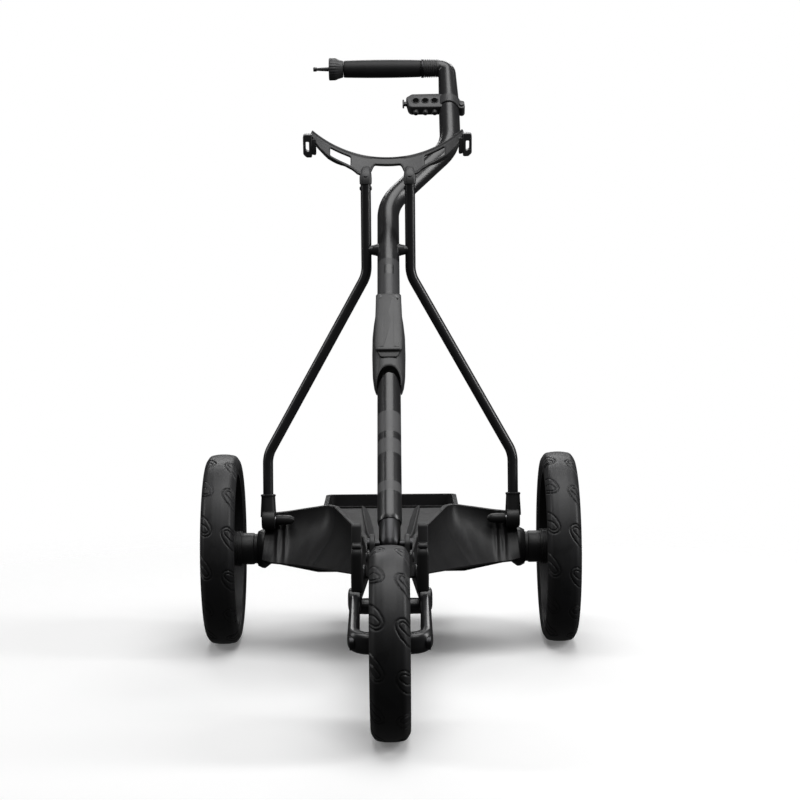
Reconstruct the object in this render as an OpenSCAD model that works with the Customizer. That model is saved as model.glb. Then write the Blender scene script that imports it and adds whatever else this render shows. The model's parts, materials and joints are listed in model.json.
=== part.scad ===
// Three-wheeled folding golf trolley with powered rear wheels.
// The model is built around the rear axle: X across, Y from front to back, Z up.
// shift_y then moves it so that the origin is under the middle of the whole trolley.

/* [Wheels] */
// Diameter of each rear wheel over the tread
rear_wheel_d = 300; // [250:1:360]
// Diameter of the front wheel over the tread
front_wheel_d = 253; // [211:1:304]
// Width of every tyre
tyre_w = 52; // [44:1:62]
// Distance between the middles of the rear tyres
rear_track = 530; // [442:1:636]
// Distance from the rear axle to the front axle
wheelbase = 620; // [517:1:744]
// Depth of the tyres, from tread to rim
tyre_depth = 26; // [18:1:32]
// Diameter of the rear drive shafts
drive_shaft_d = 12; // [10:0.1:14.4]
// Diameter of the front axle
front_axle_d = 10; // [8:0.1:12]

/* [Frame tubes] */
// Diameter of the spine and handle tube
spine_d = 34; // [28.3:0.1:40.8]
// Diameter of the two side stays
stay_d = 16; // [13.3:0.1:19.2]
// Wall of every tube
tube_wall = 2; // [1.5:0.1:2.5]
// Height of the crossbar that the handle turns on
crossbar_z = 622; // [560:1:700]
// Crossbar behind (+) or in front of (-) the rear axle
crossbar_y = -45; // [-70:1:-20]
// Distance of each stay from the middle, between crossbar and cradle
stay_top_x = 34; // [34:0.5:44]
// Height where the stays start to spread
stay_spread_z = 584; // [540:1:600]
// Height where the stays end their spread
stay_foot_z = 305; // [280:1:340]
// Height of the spine's lower pivot
spine_pivot_z = 230; // [225:1:245]
// Distance of the spine's lower pivot behind the front axle
spine_pivot_back = 158; // [150:1:180]

/* [Handle] */
// Length of the handle from crossbar to grip
handle_l = 436; // [400:1:480]
// Sideways offset of the handle's upper leg
handle_offset = 101.5; // [85:0.5:120]
// Diameter of the grip
grip_d = 30; // [28:0.5:36]
// Diameter of the speed dial
dial_d = 38; // [34:0.5:42]

/* [Latch] */
// Where the latch body starts, below the crossbar
latch_start = 115; // [105:1:125]
// Where the latch body ends, below the crossbar
latch_end = 290; // [275:1:300]
// Largest width of the latch body
latch_w = 48.5; // [47:0.5:50]
// Length left free between the two tube ends in the latch
tube_gap = 22; // [20:1:24]

/* [Bag supports] */
// Width of the upper cradle between its tips
cradle_w = 236; // [210:1:270]
// Height of the cradle's lowest point on its upper edge
cradle_z = 763; // [750:1:790]
// How far the cradle's plate leans from level, in degrees
cradle_lean = 48; // [30:1:60]
// Width of the tee sockets
tee_hole_d = 5.5; // [4.6:0.1:6.6]

/* [Fits] */
// Radial clearance of a shaft that turns in a bore
running_gap = 0.05; // [0.03:0.01:0.08]
// Radial clearance of a piece seated in another
seat_gap = 0.05; // [0.02:0.01:0.1]
// Clearance beside pieces that pass each other
pass_gap = 0.8; // [0.5:0.1:1.2]

/* [Hidden] */
$fn = 48;

// wheel positions
rear_r = rear_wheel_d / 2;
front_r = front_wheel_d / 2;
axle_z = rear_r;
half_track = rear_track / 2;
front_y = -wheelbase;
front_z = front_r;
wheel_inner_x = half_track - tyre_w / 2;

// the spine's line runs from the lower pivot up through the crossbar
spine_r = spine_d / 2;
spine_in = spine_r - tube_wall;
stay_r = stay_d / 2;
pivot_y = front_y + spine_pivot_back;
spine_rise = crossbar_z - spine_pivot_z;
spine_run = crossbar_y - pivot_y;
spine_a = atan2(spine_rise, spine_run);
spine_l = norm([spine_rise, spine_run]);

// housing that carries the rear axle
knuckle_w = stay_d + 6;
housing_half = wheel_inner_x - 39;
knuckle_in = housing_half - knuckle_w + 1;
knuckle_x = knuckle_in + knuckle_w / 2 + 0.5;
housing_top = axle_z + 72;
housing_base = axle_z - 6;
housing_front = -96;
housing_back = 28;
shell_wall = 4;
knuckle_y = -62;
knuckle_z = axle_z + 55;
knuckle_r = 15;
axle_tube_r = 25;
axle_tube_wall = 3;
flange_r = 31;
shaft_r = drive_shaft_d / 2;
bearing_r = shaft_r + 8;

// nose that carries the spine's pivot
nose_half = 34;
nose_front = pivot_y - 12;
channel_half = spine_r + 3;
channel_floor = spine_pivot_z - spine_r - 13;
ear_w = 7;
pivot_bolt_r = 5;
sleeve_r = spine_in - seat_gap;

// fork
leg_w = 13;
leg_in = tyre_w / 2 + 14;
leg_r = 13.3;
fork_knee = [pivot_y - 33, front_z + 34];
fork_root = [pivot_y + 37, front_z + 55];
fork_bar_y = front_y + front_r + 17;
fork_bar_z = front_z + 21;
fork_bar_r = 11;
front_axle_r = front_axle_d / 2;
hub_half = tyre_w / 2 - 1;

// handle and latch, measured along the spine's line from the crossbar
crossbar_r = stay_r - 0.5;
upper_end = latch_end - 57 - tube_gap;
lower_end = latch_end - 57;
bend_start = 103;
bend_l = 134;
grip_r = grip_d / 2;
dial_r = dial_d / 2;
grip_x0 = -71.5;
grip_x1 = 61.5;
collar_x1 = 78;
dial_x0 = -98;
stub_r = 4;
stub_l = 27;
tee_u = handle_l - 96;
handle_elbow = 18;
tee_pitch = 15.5;
tee_hole_r = tee_hole_d / 2;
lever_pin_y = -(latch_start + 9);
lever_pin_z = spine_r + 5;
lever_pin_r = 2;
lever_z = spine_r + 7;

// whole trolley
back_y = crossbar_y + handle_l * cos(spine_a) + dial_r;
shift_y = (wheelbase + front_r - back_y) / 2;

// ---- helpers ----

function unit(v) = v / norm(v);

// points of a circular arc
function arc(c, r, a0, a1, n = 8) =
    [for (i = [0:n]) let (t = a0 + (a1 - a0) * i / n) c + r * [cos(t), sin(t)]];

// one polygon corner p1 rounded to radius r
function corner(p0, p1, p2, r, n) = r <= 0 ? [p1] :
    let (a = unit(p0 - p1), b = unit(p2 - p1), half = acos(a * b) / 2,
        c = p1 + unit(a + b) * r / sin(half),
        s = p1 + a * r / tan(half) - c, e = p1 + b * r / tan(half) - c,
        a0 = atan2(s.y, s.x), turn = atan2(e.y, e.x) - a0,
        sweep = turn > 180 ? turn - 360 : turn < -180 ? turn + 360 : turn)
    arc(c, r, a0, a0 + sweep, n);

// polygon with every corner rounded
function rounded(p, r, n = 5) = let (m = len(p))
    [for (i = [0:m - 1]) each corner(p[(i + m - 1) % m], p[i], p[(i + 1) % m],
        is_list(r) ? r[i] : r, n)];

// rectangle between two corners, rounded
function rect(a, b, r) = rounded([[a.x, a.y], [b.x, a.y], [b.x, b.y], [a.x, b.y]], r);

// outline mirrored left to right, from points with x >= 0 in order of the second value
function both_sides(p) = concat(p, [for (i = [len(p) - 1:-1:0]) [-p[i].x, p[i].y]]);

// a profile drawn as (Y, Z), extruded along X
module along_x(x0, x1) {
    translate([x0, 0, 0]) rotate([90, 0, 90]) linear_extrude(x1 - x0) children();
}

// a profile drawn as (X, Z), extruded along Y
module along_y(y0, y1) {
    translate([0, y1, 0]) rotate([90, 0, 0]) linear_extrude(y1 - y0) children();
}

// cylinder along X between two places
module rod_x(x0, x1, y, z, r) {
    translate([x0, y, z]) rotate([0, 90, 0]) cylinder(h = x1 - x0, r = r);
}

// cylinder along Y between two places
module rod_y(y0, y1, x, z, r) {
    translate([x, y1, z]) rotate([90, 0, 0]) cylinder(h = y1 - y0, r = r);
}

// cylinder along any line from a to b
module rod(a, b, r, wall = 0) {
    w = unit(b - a);
    u = unit(cross(abs(w.z) < 0.9 ? [0, 0, 1] : [1, 0, 0], w));
    v = cross(w, u);
    multmatrix([[u.x, v.x, w.x, a.x], [u.y, v.y, w.y, a.y], [u.z, v.z, w.z, a.z], [0, 0, 0, 1]])
        linear_extrude(norm(b - a)) ring(r, wall);
}

// disc of radius r, or a ring when it has a wall
module ring(r, wall) {
    difference() {
        circle(r);
        if (wall > 0)
            circle(r - wall);
    }
}

// how far a bend of radius r takes from each leg of the corner p1
function bend_cut(p0, p1, p2, r) = r * tan(acos(unit(p1 - p0) * unit(p2 - p1)) / 2);

// solid bent round the corner p1
module elbow(p0, p1, p2, bend, r, wall = 0) {
    a = unit(p1 - p0);
    b = unit(p2 - p1);
    turn = acos(a * b);
    c = p1 + unit(b - a) * bend / cos(turn / 2);
    u = unit(p1 - a * bend * tan(turn / 2) - c);
    w = cross(u, a);
    multmatrix([[u.x, a.x, w.x, c.x], [u.y, a.y, w.y, c.y], [u.z, a.z, w.z, c.z], [0, 0, 0, 1]])
        rotate_extrude(angle = turn) translate([bend, 0]) ring(r, wall);
}

// tube along points p, with one bend radius per inner point; each bend is swaged a hair
// larger than the straight tube, which runs a little way into it
swage = 0.05;
module bent_tube(p, bends, r, wall) {
    last = len(p) - 1;
    cuts = [for (i = [0:last]) i == 0 || i == last ? 0 : bend_cut(p[i - 1], p[i], p[i + 1], bends[i - 1])];
    for (i = [0:last - 1]) {
        d = unit(p[i + 1] - p[i]);
        a = p[i] + d * (i == 0 ? 0 : cuts[i] - 1);
        b = p[i + 1] - d * (i == last - 1 ? 0 : cuts[i + 1] - 1);
        rod(a, b, r, wall);
    }
    for (i = [1:last - 1])
        elbow(p[i - 1], p[i], p[i + 1], bends[i - 1], r + swage, wall > 0 ? wall + 2 * swage : 0);
}

// moves everything so that the origin is under the middle
module placed() {
    translate([0, shift_y, 0]) children();
}

// frame of the spine: X across, Y up along the tube from the crossbar, Z out of its front
module on_spine() {
    placed() translate([0, crossbar_y, crossbar_z]) rotate([spine_a, 0, 0]) children();
}

// frame of a rear wheel: Z points outboard along the axle
module on_rear_wheel(side) {
    placed() translate([side * half_track, 0, axle_z]) rotate([0, side * 90, 0]) children();
}

// frame of the front wheel: Z along the axle
module on_front_wheel() {
    placed() translate([0, front_y, front_z]) rotate([0, 90, 0]) children();
}

// what is drawn for the right side, put on either side
module on_side(side) {
    placed() mirror([side < 0 ? 1 : 0, 0, 0]) children();
}

// ---- wheels ----

// section of a tyre: crowned tread, round shoulders, flat seat on the rim
module tyre_section(r, w) {
    s = 11;
    half = concat([[r - tyre_depth, 0], [r - tyre_depth, w / 2 - 3], [r - tyre_depth + 4, w / 2]],
        [for (p = arc([r - 1 - s, w / 2 - s], s, 90, 0, 7)) p], [[r, w * 0.12]]);
    polygon(concat(half, [for (i = [len(half) - 1:-1:0]) [half[i].x, -half[i].y]]));
}

module tyre(r) {
    color([0.06, 0.06, 0.065]) rotate_extrude($fn = 96) tyre_section(r, tyre_w);
}

// rear rim: barrel under the tyre, web dished towards the outside, hub on the shaft
module rear_rim(side) {
    seat = rear_r - tyre_depth - seat_gap;
    hub_r = 22;
    web = 5;
    out = tyre_w / 2 - 4;
    color([0.09, 0.09, 0.1]) on_rear_wheel(side) difference() {
        union() {
            rotate_extrude($fn = 96) polygon([[seat, -out], [seat, out], [seat - web, out],
                [seat - 8, out - 1], [60, out - 9], [hub_r, out - 13], [hub_r, out],
                [0, out], [0, -7], [hub_r, -7], [hub_r + 6, out - 13 - web], [60, out - 9 - web],
                [seat - web - 6, out - 4 - web], [seat - web, out - 12], [seat - web, -out]]);
            // ribs on the outside of the web
            for (k = [0:6])
                rotate([90, 0, k * 360 / 7]) translate([0, 0, -4]) linear_extrude(8)
                    polygon([[hub_r - 1, out - 15], [60, out - 11.5], [seat - 2, out - 4.5],
                        [seat - 2, out - 1.5], [hub_r - 1, out - 1.5]]);
        }
        translate([0, 0, -tyre_w]) cylinder(h = 2 * tyre_w, r = shaft_r + seat_gap);
        translate([0, 0, out - 2]) cylinder(h = 10, r = hub_r - 3);
    }
}

module hub_cap(side) {
    out = tyre_w / 2 - 6;
    color([0.2, 0.2, 0.21]) on_rear_wheel(side) translate([0, 0, out]) difference() {
        union() {
            cylinder(h = 2, r = 19 - seat_gap);
            translate([0, 0, 2]) cylinder(h = 3.5, r1 = 26, r2 = 22);
        }
        translate([0, 0, -1]) cylinder(h = 3, r = shaft_r + 1);
    }
}

// shaft from the gearbox to the wheel; it turns with the wheel
module drive_shaft(side) {
    color([0.75, 0.75, 0.77]) on_side(side)
        rod_x(knuckle_in - 8, half_track + tyre_w / 2 - 7, 0, axle_z, shaft_r);
}

module front_rim() {
    seat = front_r - tyre_depth - seat_gap;
    out = tyre_w / 2 - 4;
    hub_r = 20;
    half = [[seat, out], [seat - 5, out], [seat - 12, out - 9], [seat - 24, 6], [hub_r + 14, 5],
        [hub_r, 12], [hub_r - 2, hub_half], [0, hub_half]];
    color([0.09, 0.09, 0.1]) on_front_wheel() difference() {
        rotate_extrude($fn = 96)
            polygon(concat(half, [for (i = [len(half) - 1:-1:0]) [half[i].x, -half[i].y]]));
        cylinder(h = 4 * hub_half, r = front_axle_r + 2, center = true);
        for (s = [-1, 1])
            translate([0, 0, s * (hub_half - 4)])
                cylinder(h = 8 + seat_gap, r = 13 + seat_gap, center = true);
    }
}

module front_bearings() {
    color([0.7, 0.7, 0.72]) on_front_wheel() for (s = [-1, 1])
        translate([0, 0, s * (hub_half - 4)]) difference() {
            cylinder(h = 8, r = 13, center = true);
            cylinder(h = 10, r = front_axle_r + running_gap, center = true);
        }
}

// ---- rear housing and drive ----

// side outline of the housing's middle, front to back
function housing_side(front, grow) = rounded([[front - grow + 8, housing_base],
    [front - grow, housing_base + 30], [front - grow + 10, housing_top - 12 + grow],
    [front + 34, housing_top + grow], [housing_back - 10 + grow, housing_top - 14 + grow],
    [housing_back + grow, housing_top - 28], [housing_back + grow, housing_base]],
    [0, 20, 16, 24, 8, 8, 0]);

// outline of the beam from above, from the housing to the nose
beam_y = [housing_front + 36, -250 + (620 - wheelbase) / 2, pivot_y + 62, nose_front];
beam_x = [92, 54, nose_half + 4, nose_half - 4];
function beam_plan(inset) = let (b = beam_x[0] - inset, c = beam_x[1] - inset,
        d = beam_x[2] - inset, e = beam_x[3] - inset)
    rounded(both_sides([[b + 22, beam_y[0] + 20], [b, beam_y[0]], [c, beam_y[1]],
        [d, beam_y[2]], [e, beam_y[3] + inset]]),
        [0, 60, 120, 120, 10 - min(inset, 6), 10 - min(inset, 6), 120, 120, 60, 0]);

// side outline of the beam
beam_top = housing_top - 4;
beam_rise = 42;
beam_back = housing_front + 60;
function beam_low(y) = housing_base + 1.5 + beam_rise * (beam_back - y) / (beam_back - pivot_y);
function beam_side(inset) = rounded([[beam_back, beam_low(beam_back)], [beam_back, beam_top - inset],
    [beam_y[1], beam_top - 6 - inset], [pivot_y + 40, beam_top - 8 - inset],
    [nose_front + inset, beam_top - 12 - inset], [nose_front + inset, beam_low(pivot_y) + 4],
    [pivot_y + 20, beam_low(pivot_y + 20)]],
    [0, 0, 100, 60, 5, 5, 40]);

// ears that hold the spine's pivot bolt, with the rails that run back from them
module pivot_ears() {
    top = housing_top + 4;
    for (s = [-1, 1])
        mirror([s < 0 ? 1 : 0, 0, 0]) {
            along_x(channel_half, channel_half + ear_w)
                polygon(concat(arc([pivot_y, spine_pivot_z], 15, 60, 200, 10),
                    [[pivot_y - 6, channel_floor - 10], [pivot_y + 45, channel_floor - 10],
                    [pivot_y + 45, beam_top]]));
            translate([0, 0, channel_floor]) linear_extrude(top - channel_floor)
                polygon([[channel_half, pivot_y + 20], [channel_half + 4, pivot_y + 20],
                    [channel_half + 14, housing_front + 40], [channel_half + 10, housing_front + 40]]);
        }
}

// room for the motors, controller and wiring
module housing_room() {
    along_x(-knuckle_in + shell_wall, knuckle_in - shell_wall)
        polygon(rect([housing_front + 12, housing_base - 1],
            [housing_back - shell_wall, housing_top - 33], 6));
}

module chassis_shell() {
    color([0.13, 0.13, 0.14]) placed() difference() {
        union() {
            along_x(-knuckle_in, knuckle_in) polygon(housing_side(housing_front, 0));
            along_x(-housing_half, housing_half) polygon(rounded([[knuckle_y + knuckle_r + 4, housing_base],
                [housing_back, housing_base], [housing_back, housing_top - 34],
                [knuckle_y + knuckle_r + 4, housing_top - 12]], [0, 0, 10, 6]));
            intersection() {
                translate([0, 0, housing_base]) linear_extrude(200) polygon(beam_plan(0));
                along_x(-120, 120) polygon(beam_side(0));
            }
            pivot_ears();
        }
        housing_room();
        // room inside the beam, below the channel
        intersection() {
            translate([0, 0, housing_base - 1]) linear_extrude(channel_floor - 4 - housing_base)
                polygon(beam_plan(5));
            along_x(-120, 120) polygon(rect([pivot_y + 70, housing_base - 5], [housing_front + 20, 300], 0));
        }
        // channel that the spine folds into
        along_x(-channel_half, channel_half) polygon([[nose_front - 30, channel_floor],
            [pivot_y + 60, channel_floor], [housing_front - 6, housing_top - 6],
            [housing_front - 6, 400], [nose_front - 30, 400]]);
        rod_x(-60, 60, pivot_y, spine_pivot_z, pivot_bolt_r + seat_gap);
        for (s = [-1, 1]) mirror([s < 0 ? 1 : 0, 0, 0]) {
            rod_x(knuckle_in - 14, housing_half + 10, 0, axle_z, axle_tube_r + seat_gap);
            rod_x(knuckle_in - 20, knuckle_in + 1, knuckle_y, knuckle_z, 6 + seat_gap);
        }
        screw_places() cylinder(h = 9, r = 2 + seat_gap, center = true);
    }
}

// top line of the strip below the beam
strip_line = [[housing_front + 25, housing_base], [housing_front + 7, housing_base],
    [housing_front - 24, beam_low(housing_front - 24)], [pivot_y + 62, beam_low(pivot_y + 62)]];

// bottom cover: a sloped pan under the housing and a strip under the beam
module underbody() {
    low = housing_base - 18;
    color([0.1, 0.1, 0.105]) placed() difference() {
        union() {
            along_y(housing_front + 12, housing_back - 6) polygon(rounded(
                [[-housing_half + 2, housing_base], [-housing_half + 2, housing_base - 4],
                [-knuckle_in, housing_base - 4], [-113, low], [113, low], [knuckle_in, housing_base - 4],
                [housing_half - 2, housing_base - 4], [housing_half - 2, housing_base]],
                [0, 2, 8, 12, 12, 8, 2, 0]));
            intersection() {
                translate([0, 0, housing_base - 10]) linear_extrude(100) polygon(beam_plan(3));
                along_x(-120, 120) polygon(concat(
                    strip_line, [for (q = [3:-1:0]) strip_line[q] - [0, 8]]));
            }
        }
        along_y(housing_front + 16, housing_back - 10) polygon([[-knuckle_in + 12, housing_base + 1],
            [-knuckle_in + 12, housing_base - 1.5], [-112, low + 3], [112, low + 3],
            [knuckle_in - 12, housing_base - 1.5], [knuckle_in - 12, housing_base + 1]]);
        rod_x(knuckle_in - 14, housing_half + 10, 0, axle_z, axle_tube_r + seat_gap);
        rod_x(-housing_half - 10, -knuckle_in + 14, 0, axle_z, axle_tube_r + seat_gap);
        screw_places() cylinder(h = 40, r = 2 + seat_gap, center = true);
        screw_places() translate([0, 0, -6]) cylinder(h = 3.5, r = 4.5);
    }
}

// where the bottom cover's screws go, at its lower face
module screw_places() {
    for (x = [-knuckle_in - 8, knuckle_in + 8])
        translate([x, -axle_tube_r - 9, housing_base]) children();
}

module underbody_screws() {
    color([0.6, 0.6, 0.62]) placed() screw_places() {
        translate([0, 0, -4.6]) cylinder(h = 2, r = 4);
        translate([0, 0, -3]) cylinder(h = 7, r = 2);
    }
}

module axle_tube(side) {
    color([0.12, 0.12, 0.13]) on_side(side) difference() {
        union() {
            rod_x(knuckle_in - 10, wheel_inner_x + 1, 0, axle_z, axle_tube_r);
            translate([housing_half, 0, axle_z]) rotate([0, 90, 0])
                cylinder(h = 12, r1 = axle_tube_r + 6, r2 = axle_tube_r + 1);
        }
        rod_x(knuckle_in - 11, wheel_inner_x + 2, 0, axle_z, axle_tube_r - axle_tube_wall);
    }
}

// end cap of the axle tube that holds the outer bearing
module bearing_flange(side) {
    x0 = wheel_inner_x + 1;
    color([0.16, 0.16, 0.17]) on_side(side) difference() {
        union() {
            rod_x(x0, x0 + 10, 0, axle_z, flange_r);
            rod_x(x0 - 8, x0, 0, axle_z, axle_tube_r - axle_tube_wall - seat_gap);
        }
        rod_x(x0 - 9, x0 + 11, 0, axle_z, shaft_r + 1.5);
        rod_x(x0 - 9, x0 + 1, 0, axle_z, bearing_r + seat_gap);
        for (k = [0:3])
            rotate_about_axle(k * 90 + 45) rod_x(x0 + 6, x0 + 11, 0, axle_z + 24, 2.4);
    }
}

// turns about the rear axle
module rotate_about_axle(a) {
    translate([0, 0, axle_z]) rotate([a, 0, 0]) translate([0, 0, -axle_z]) children();
}

module axle_bearings() {
    x0 = wheel_inner_x + 1;
    color([0.72, 0.72, 0.74]) for (s = [-1, 1]) on_side(s) difference() {
        rod_x(x0 - 8, x0 + 1, 0, axle_z, bearing_r);
        rod_x(x0 - 9, x0 + 2, 0, axle_z, shaft_r + running_gap);
    }
}

module motor(side) {
    x1 = knuckle_in - 75;
    color([0.55, 0.55, 0.57]) on_side(side) difference() {
        union() {
            rod_x(x1 - 78, x1, 0, axle_z, 19);
            rod_x(x1 - 84, x1 - 78, 0, axle_z, 7);
        }
        rod_x(x1 - 10, x1 + 1, 0, axle_z, 3.1);
    }
}

module gearbox(side) {
    x0 = knuckle_in - 75;
    x1 = wheel_inner_x - 7.5;
    color([0.4, 0.4, 0.42]) on_side(side) difference() {
        union() {
            rod_x(x0, x0 + 20, 0, axle_z, 16);
            rod_x(x0 + 19, knuckle_in - 9, 0, axle_z, 8.5);
            rod_x(knuckle_in - 9.5, x1, 0, axle_z, axle_tube_r - axle_tube_wall - 0.5);
            rod_x(x0 - 9, x0, 0, axle_z, 3);
        }
        rod_x(knuckle_in - 9, x1 + 1, 0, axle_z, shaft_r + running_gap);
    }
}

module motor_controller() {
    color([0.2, 0.35, 0.25]) placed() difference() {
        translate([-38, housing_front + 20, housing_base + 4]) cube([76, 46, 24]);
        for (k = [0:5])
            translate([-32 + k * 12, housing_front + 19, housing_base + 22]) cube([5, 48, 8]);
    }
}

tray_half = 104;
tray_back = 168;
tray_low = axle_z - 43;
tray_top = axle_z + 62;

// open-topped tray behind the housing for the battery
module battery_tray() {
    color([0.1, 0.1, 0.11]) placed() difference() {
        union() {
            translate([0, 0, tray_low]) linear_extrude(tray_top - tray_low)
                polygon(rect([-tray_half, housing_back], [tray_half, tray_back], 12));
            // flared lip
            translate([0, 0, tray_top - 7]) linear_extrude(7)
                polygon(rect([-tray_half - 4, housing_back], [tray_half + 4, tray_back + 4], 12));
            translate([0, 0, tray_low]) linear_extrude(5)
                polygon(rect([-tray_half - 6, housing_back], [tray_half + 6, tray_back + 2], 12));
        }
        translate([0, 0, tray_low + 5]) linear_extrude(200)
            polygon(rect([-tray_half + 3, housing_back + 3], [tray_half - 3, tray_back - 3], 9));
    }
}

module battery_pack() {
    low = tray_low + 5;
    color([0.18, 0.18, 0.19]) placed() difference() {
        union() {
            translate([0, 0, low]) linear_extrude(74)
                polygon(rect([-tray_half + 6, housing_back + 7], [tray_half - 6, tray_back - 6], 8));
            translate([0, 0, low + 74]) linear_extrude(4)
                polygon(rect([-tray_half + 12, housing_back + 13], [tray_half - 12, tray_back - 12], 6));
        }
        // grip recess in the top
        translate([0, (housing_back + tray_back) / 2, low + 74]) linear_extrude(20)
            polygon(rect([-40, -14], [40, 14], 10));
        for (x = [-20, 20])
            translate([x - 5, housing_back + 6, low + 20]) cube([10, 4, 16]);
    }
}

module battery_contacts() {
    color([0.85, 0.65, 0.3]) placed() for (x = [-20, 20])
        translate([x - 4, housing_back + 3, tray_low + 27]) cube([8, 6.8, 12]);
}

// pins that the stay knuckles turn on, pressed into the housing
module fold_pivot_pins() {
    color([0.7, 0.7, 0.72]) for (s = [-1, 1]) on_side(s)
        rod_x(knuckle_in - 12, knuckle_in + knuckle_w - 6, knuckle_y, knuckle_z, 6);
}

module spine_pivot_bolt() {
    half = channel_half + ear_w;
    color([0.5, 0.5, 0.52]) placed() {
        rod_x(-half, half, pivot_y, spine_pivot_z, pivot_bolt_r);
        rod_x(-half - 4, -half, pivot_y, spine_pivot_z, 8);
        rod_x(half, half + 4, pivot_y, spine_pivot_z, 8);
    }
}

// ---- front fork ----

// straight bar with round ends, drawn in the side view
module bar2d(a, b, r) {
    d = unit(b - a);
    n = [-d.y, d.x] * r;
    translate(a) circle(r);
    translate(b) circle(r);
    polygon([a + n, b + n, b - n, a - n]);
}

module leg_outline() {
    bar2d([front_y, front_z], fork_knee, leg_r);
    bar2d(fork_knee, fork_root, leg_r);
}

module fork_leg(side) {
    color([0.08, 0.08, 0.085]) on_side(side) difference() {
        union() {
            along_x(leg_in, leg_in + leg_w) leg_outline();
            rod_x(hub_half + 2.5, leg_in, front_y, front_z, 12);
            rod_x(nose_half - 2, leg_in, fork_root.x, fork_root.y, 10);
        }
        rod_x(0, 100, front_y, front_z, front_axle_r + seat_gap);
        rod_x(leg_in + leg_w - 6, 100, front_y, front_z, 9 + seat_gap);
        rod_x(leg_in - 1, leg_in + 4, fork_bar_y, fork_bar_z, fork_bar_r + seat_gap);
        // the legs' roots fit round the nose
        translate([0, 0, housing_base - 1]) linear_extrude(200) polygon(beam_plan(-seat_gap));
    }
}

module fork_crossbar() {
    half = leg_in + 4;
    color([0.08, 0.08, 0.085]) placed() rod_x(-half, half, fork_bar_y, fork_bar_z, fork_bar_r);
}

module front_axle() {
    half = leg_in + leg_w;
    color([0.6, 0.6, 0.62]) placed() rod_x(-half + 4, half - 4, front_y, front_z, front_axle_r);
}

module front_axle_nuts() {
    half = leg_in + leg_w;
    color([0.35, 0.35, 0.36]) for (s = [-1, 1]) on_side(s) difference() {
        rod_x(half - 6, half - 0.5, front_y, front_z, 9);
        rod_x(half - 7, half - 4, front_y, front_z, front_axle_r + seat_gap);
    }
}

// ---- bag stops on the fork's knees ----
stop_in = tyre_w / 2 + 10;
stop_w = 16;
stop_top = fork_knee.y + 76;

module bag_stop(side) {
    k = fork_knee;
    color([0.07, 0.07, 0.075]) on_side(side) difference() {
        union() {
            along_x(stop_in, stop_in + stop_w) polygon(rounded([[k.x - 16, k.y - 6],
                [k.x + 20, k.y - 6], [k.x + 24, k.y + 34], [k.x + 12, stop_top], [k.x - 18, stop_top]],
                [4, 6, 10, 8, 11]));
            along_x(stop_in + 3, stop_in + stop_w - 3)
                polygon(rounded([[k.x + 2, k.y + 40], [k.x + 18, k.y + 40], [k.x + 18, stop_top + 18],
                    [k.x + 4, stop_top + 18]], [0, 0, 5, 5]));
        }
        along_x(leg_in - seat_gap, leg_in + leg_w + seat_gap) leg_cut();
        rod_x(0, 100, fork_bar_y, fork_bar_z, fork_bar_r + seat_gap);
    }
}

// the leg's outline with a clearance, for the stop that sits over it
module leg_cut() {
    bar2d([front_y, front_z], fork_knee, leg_r + seat_gap);
    bar2d(fork_knee, fork_root, leg_r + seat_gap);
}

module bag_stop_pads() {
    k = fork_knee;
    color([0.25, 0.25, 0.26]) for (s = [-1, 1]) on_side(s)
        along_x(stop_in + 2, stop_in + stop_w - 2)
            polygon([[k.x - 18.5, stop_top - 14], [k.x - 16.9 - 0.1, k.y + 20], [k.x - 20, k.y + 20],
                [k.x - 21.5, stop_top - 14]]);
}

// ---- stays, crossbar and cradle ----
stay_top_z = cradle_z - 20;
rivet_z = stay_top_z - 21 - seat_gap;
function stay_points() = [[knuckle_x, knuckle_y + 6, knuckle_z + 18], [knuckle_x, crossbar_y - 3, stay_foot_z],
    [stay_top_x, crossbar_y, stay_spread_z], [stay_top_x, crossbar_y, stay_top_z]];
stay_bends = [45, 45];

module stay(side) {
    color([0.05, 0.05, 0.055]) on_side(side) difference() {
        bent_tube(stay_points(), stay_bends, stay_r, tube_wall);
        rod_x(stay_top_x - 20, stay_top_x + 20, crossbar_y, rivet_z, 2 + seat_gap);
    }
}

// knuckle that holds the stay's foot and turns on the housing's pin
module stay_knuckle(side) {
    p = stay_points();
    d = unit(p[1] - p[0]);
    color([0.1, 0.1, 0.105]) on_side(side) difference() {
        union() {
            rod_x(knuckle_in + 0.6, knuckle_in + knuckle_w, knuckle_y, knuckle_z, knuckle_r);
            rod(p[0] - d * 8, p[0] + d * 21, knuckle_w / 2 - 0.4);
        }
        rod(p[0], p[0] + d * 30, stay_r + seat_gap);
        rod_x(knuckle_in - 1, knuckle_in + knuckle_w - 5, knuckle_y, knuckle_z, 6 + running_gap);
    }
}

module crossbar() {
    color([0.05, 0.05, 0.055]) placed() difference() {
        rod_x(-stay_top_x, stay_top_x, crossbar_y, crossbar_z, crossbar_r);
        for (s = [-1, 1])
            translate([s * stay_top_x, crossbar_y, crossbar_z - 30]) cylinder(h = 60, r = stay_r + 0.02);
    }
}

// cradle: a curved plate that leans back, so the bag lies in its hollow
tip_x = cradle_w / 2;
tip_rise = 43;
cradle_r = (tip_x * tip_x + tip_rise * tip_rise) / (2 * tip_rise);
cradle_back = 27;
plate_t = 4.6;
socket_r = 12;

// height of the saddle's upper edge at x
function saddle(x) = cradle_r - sqrt(cradle_r * cradle_r - x * x);

// where the saddle's upper edge lies in the plate's own frame: out of the plate, and down it
function plate_out(x) = saddle(x) * cos(cradle_lean);
function plate_down(x) = -saddle(x) * sin(cradle_lean);

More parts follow.
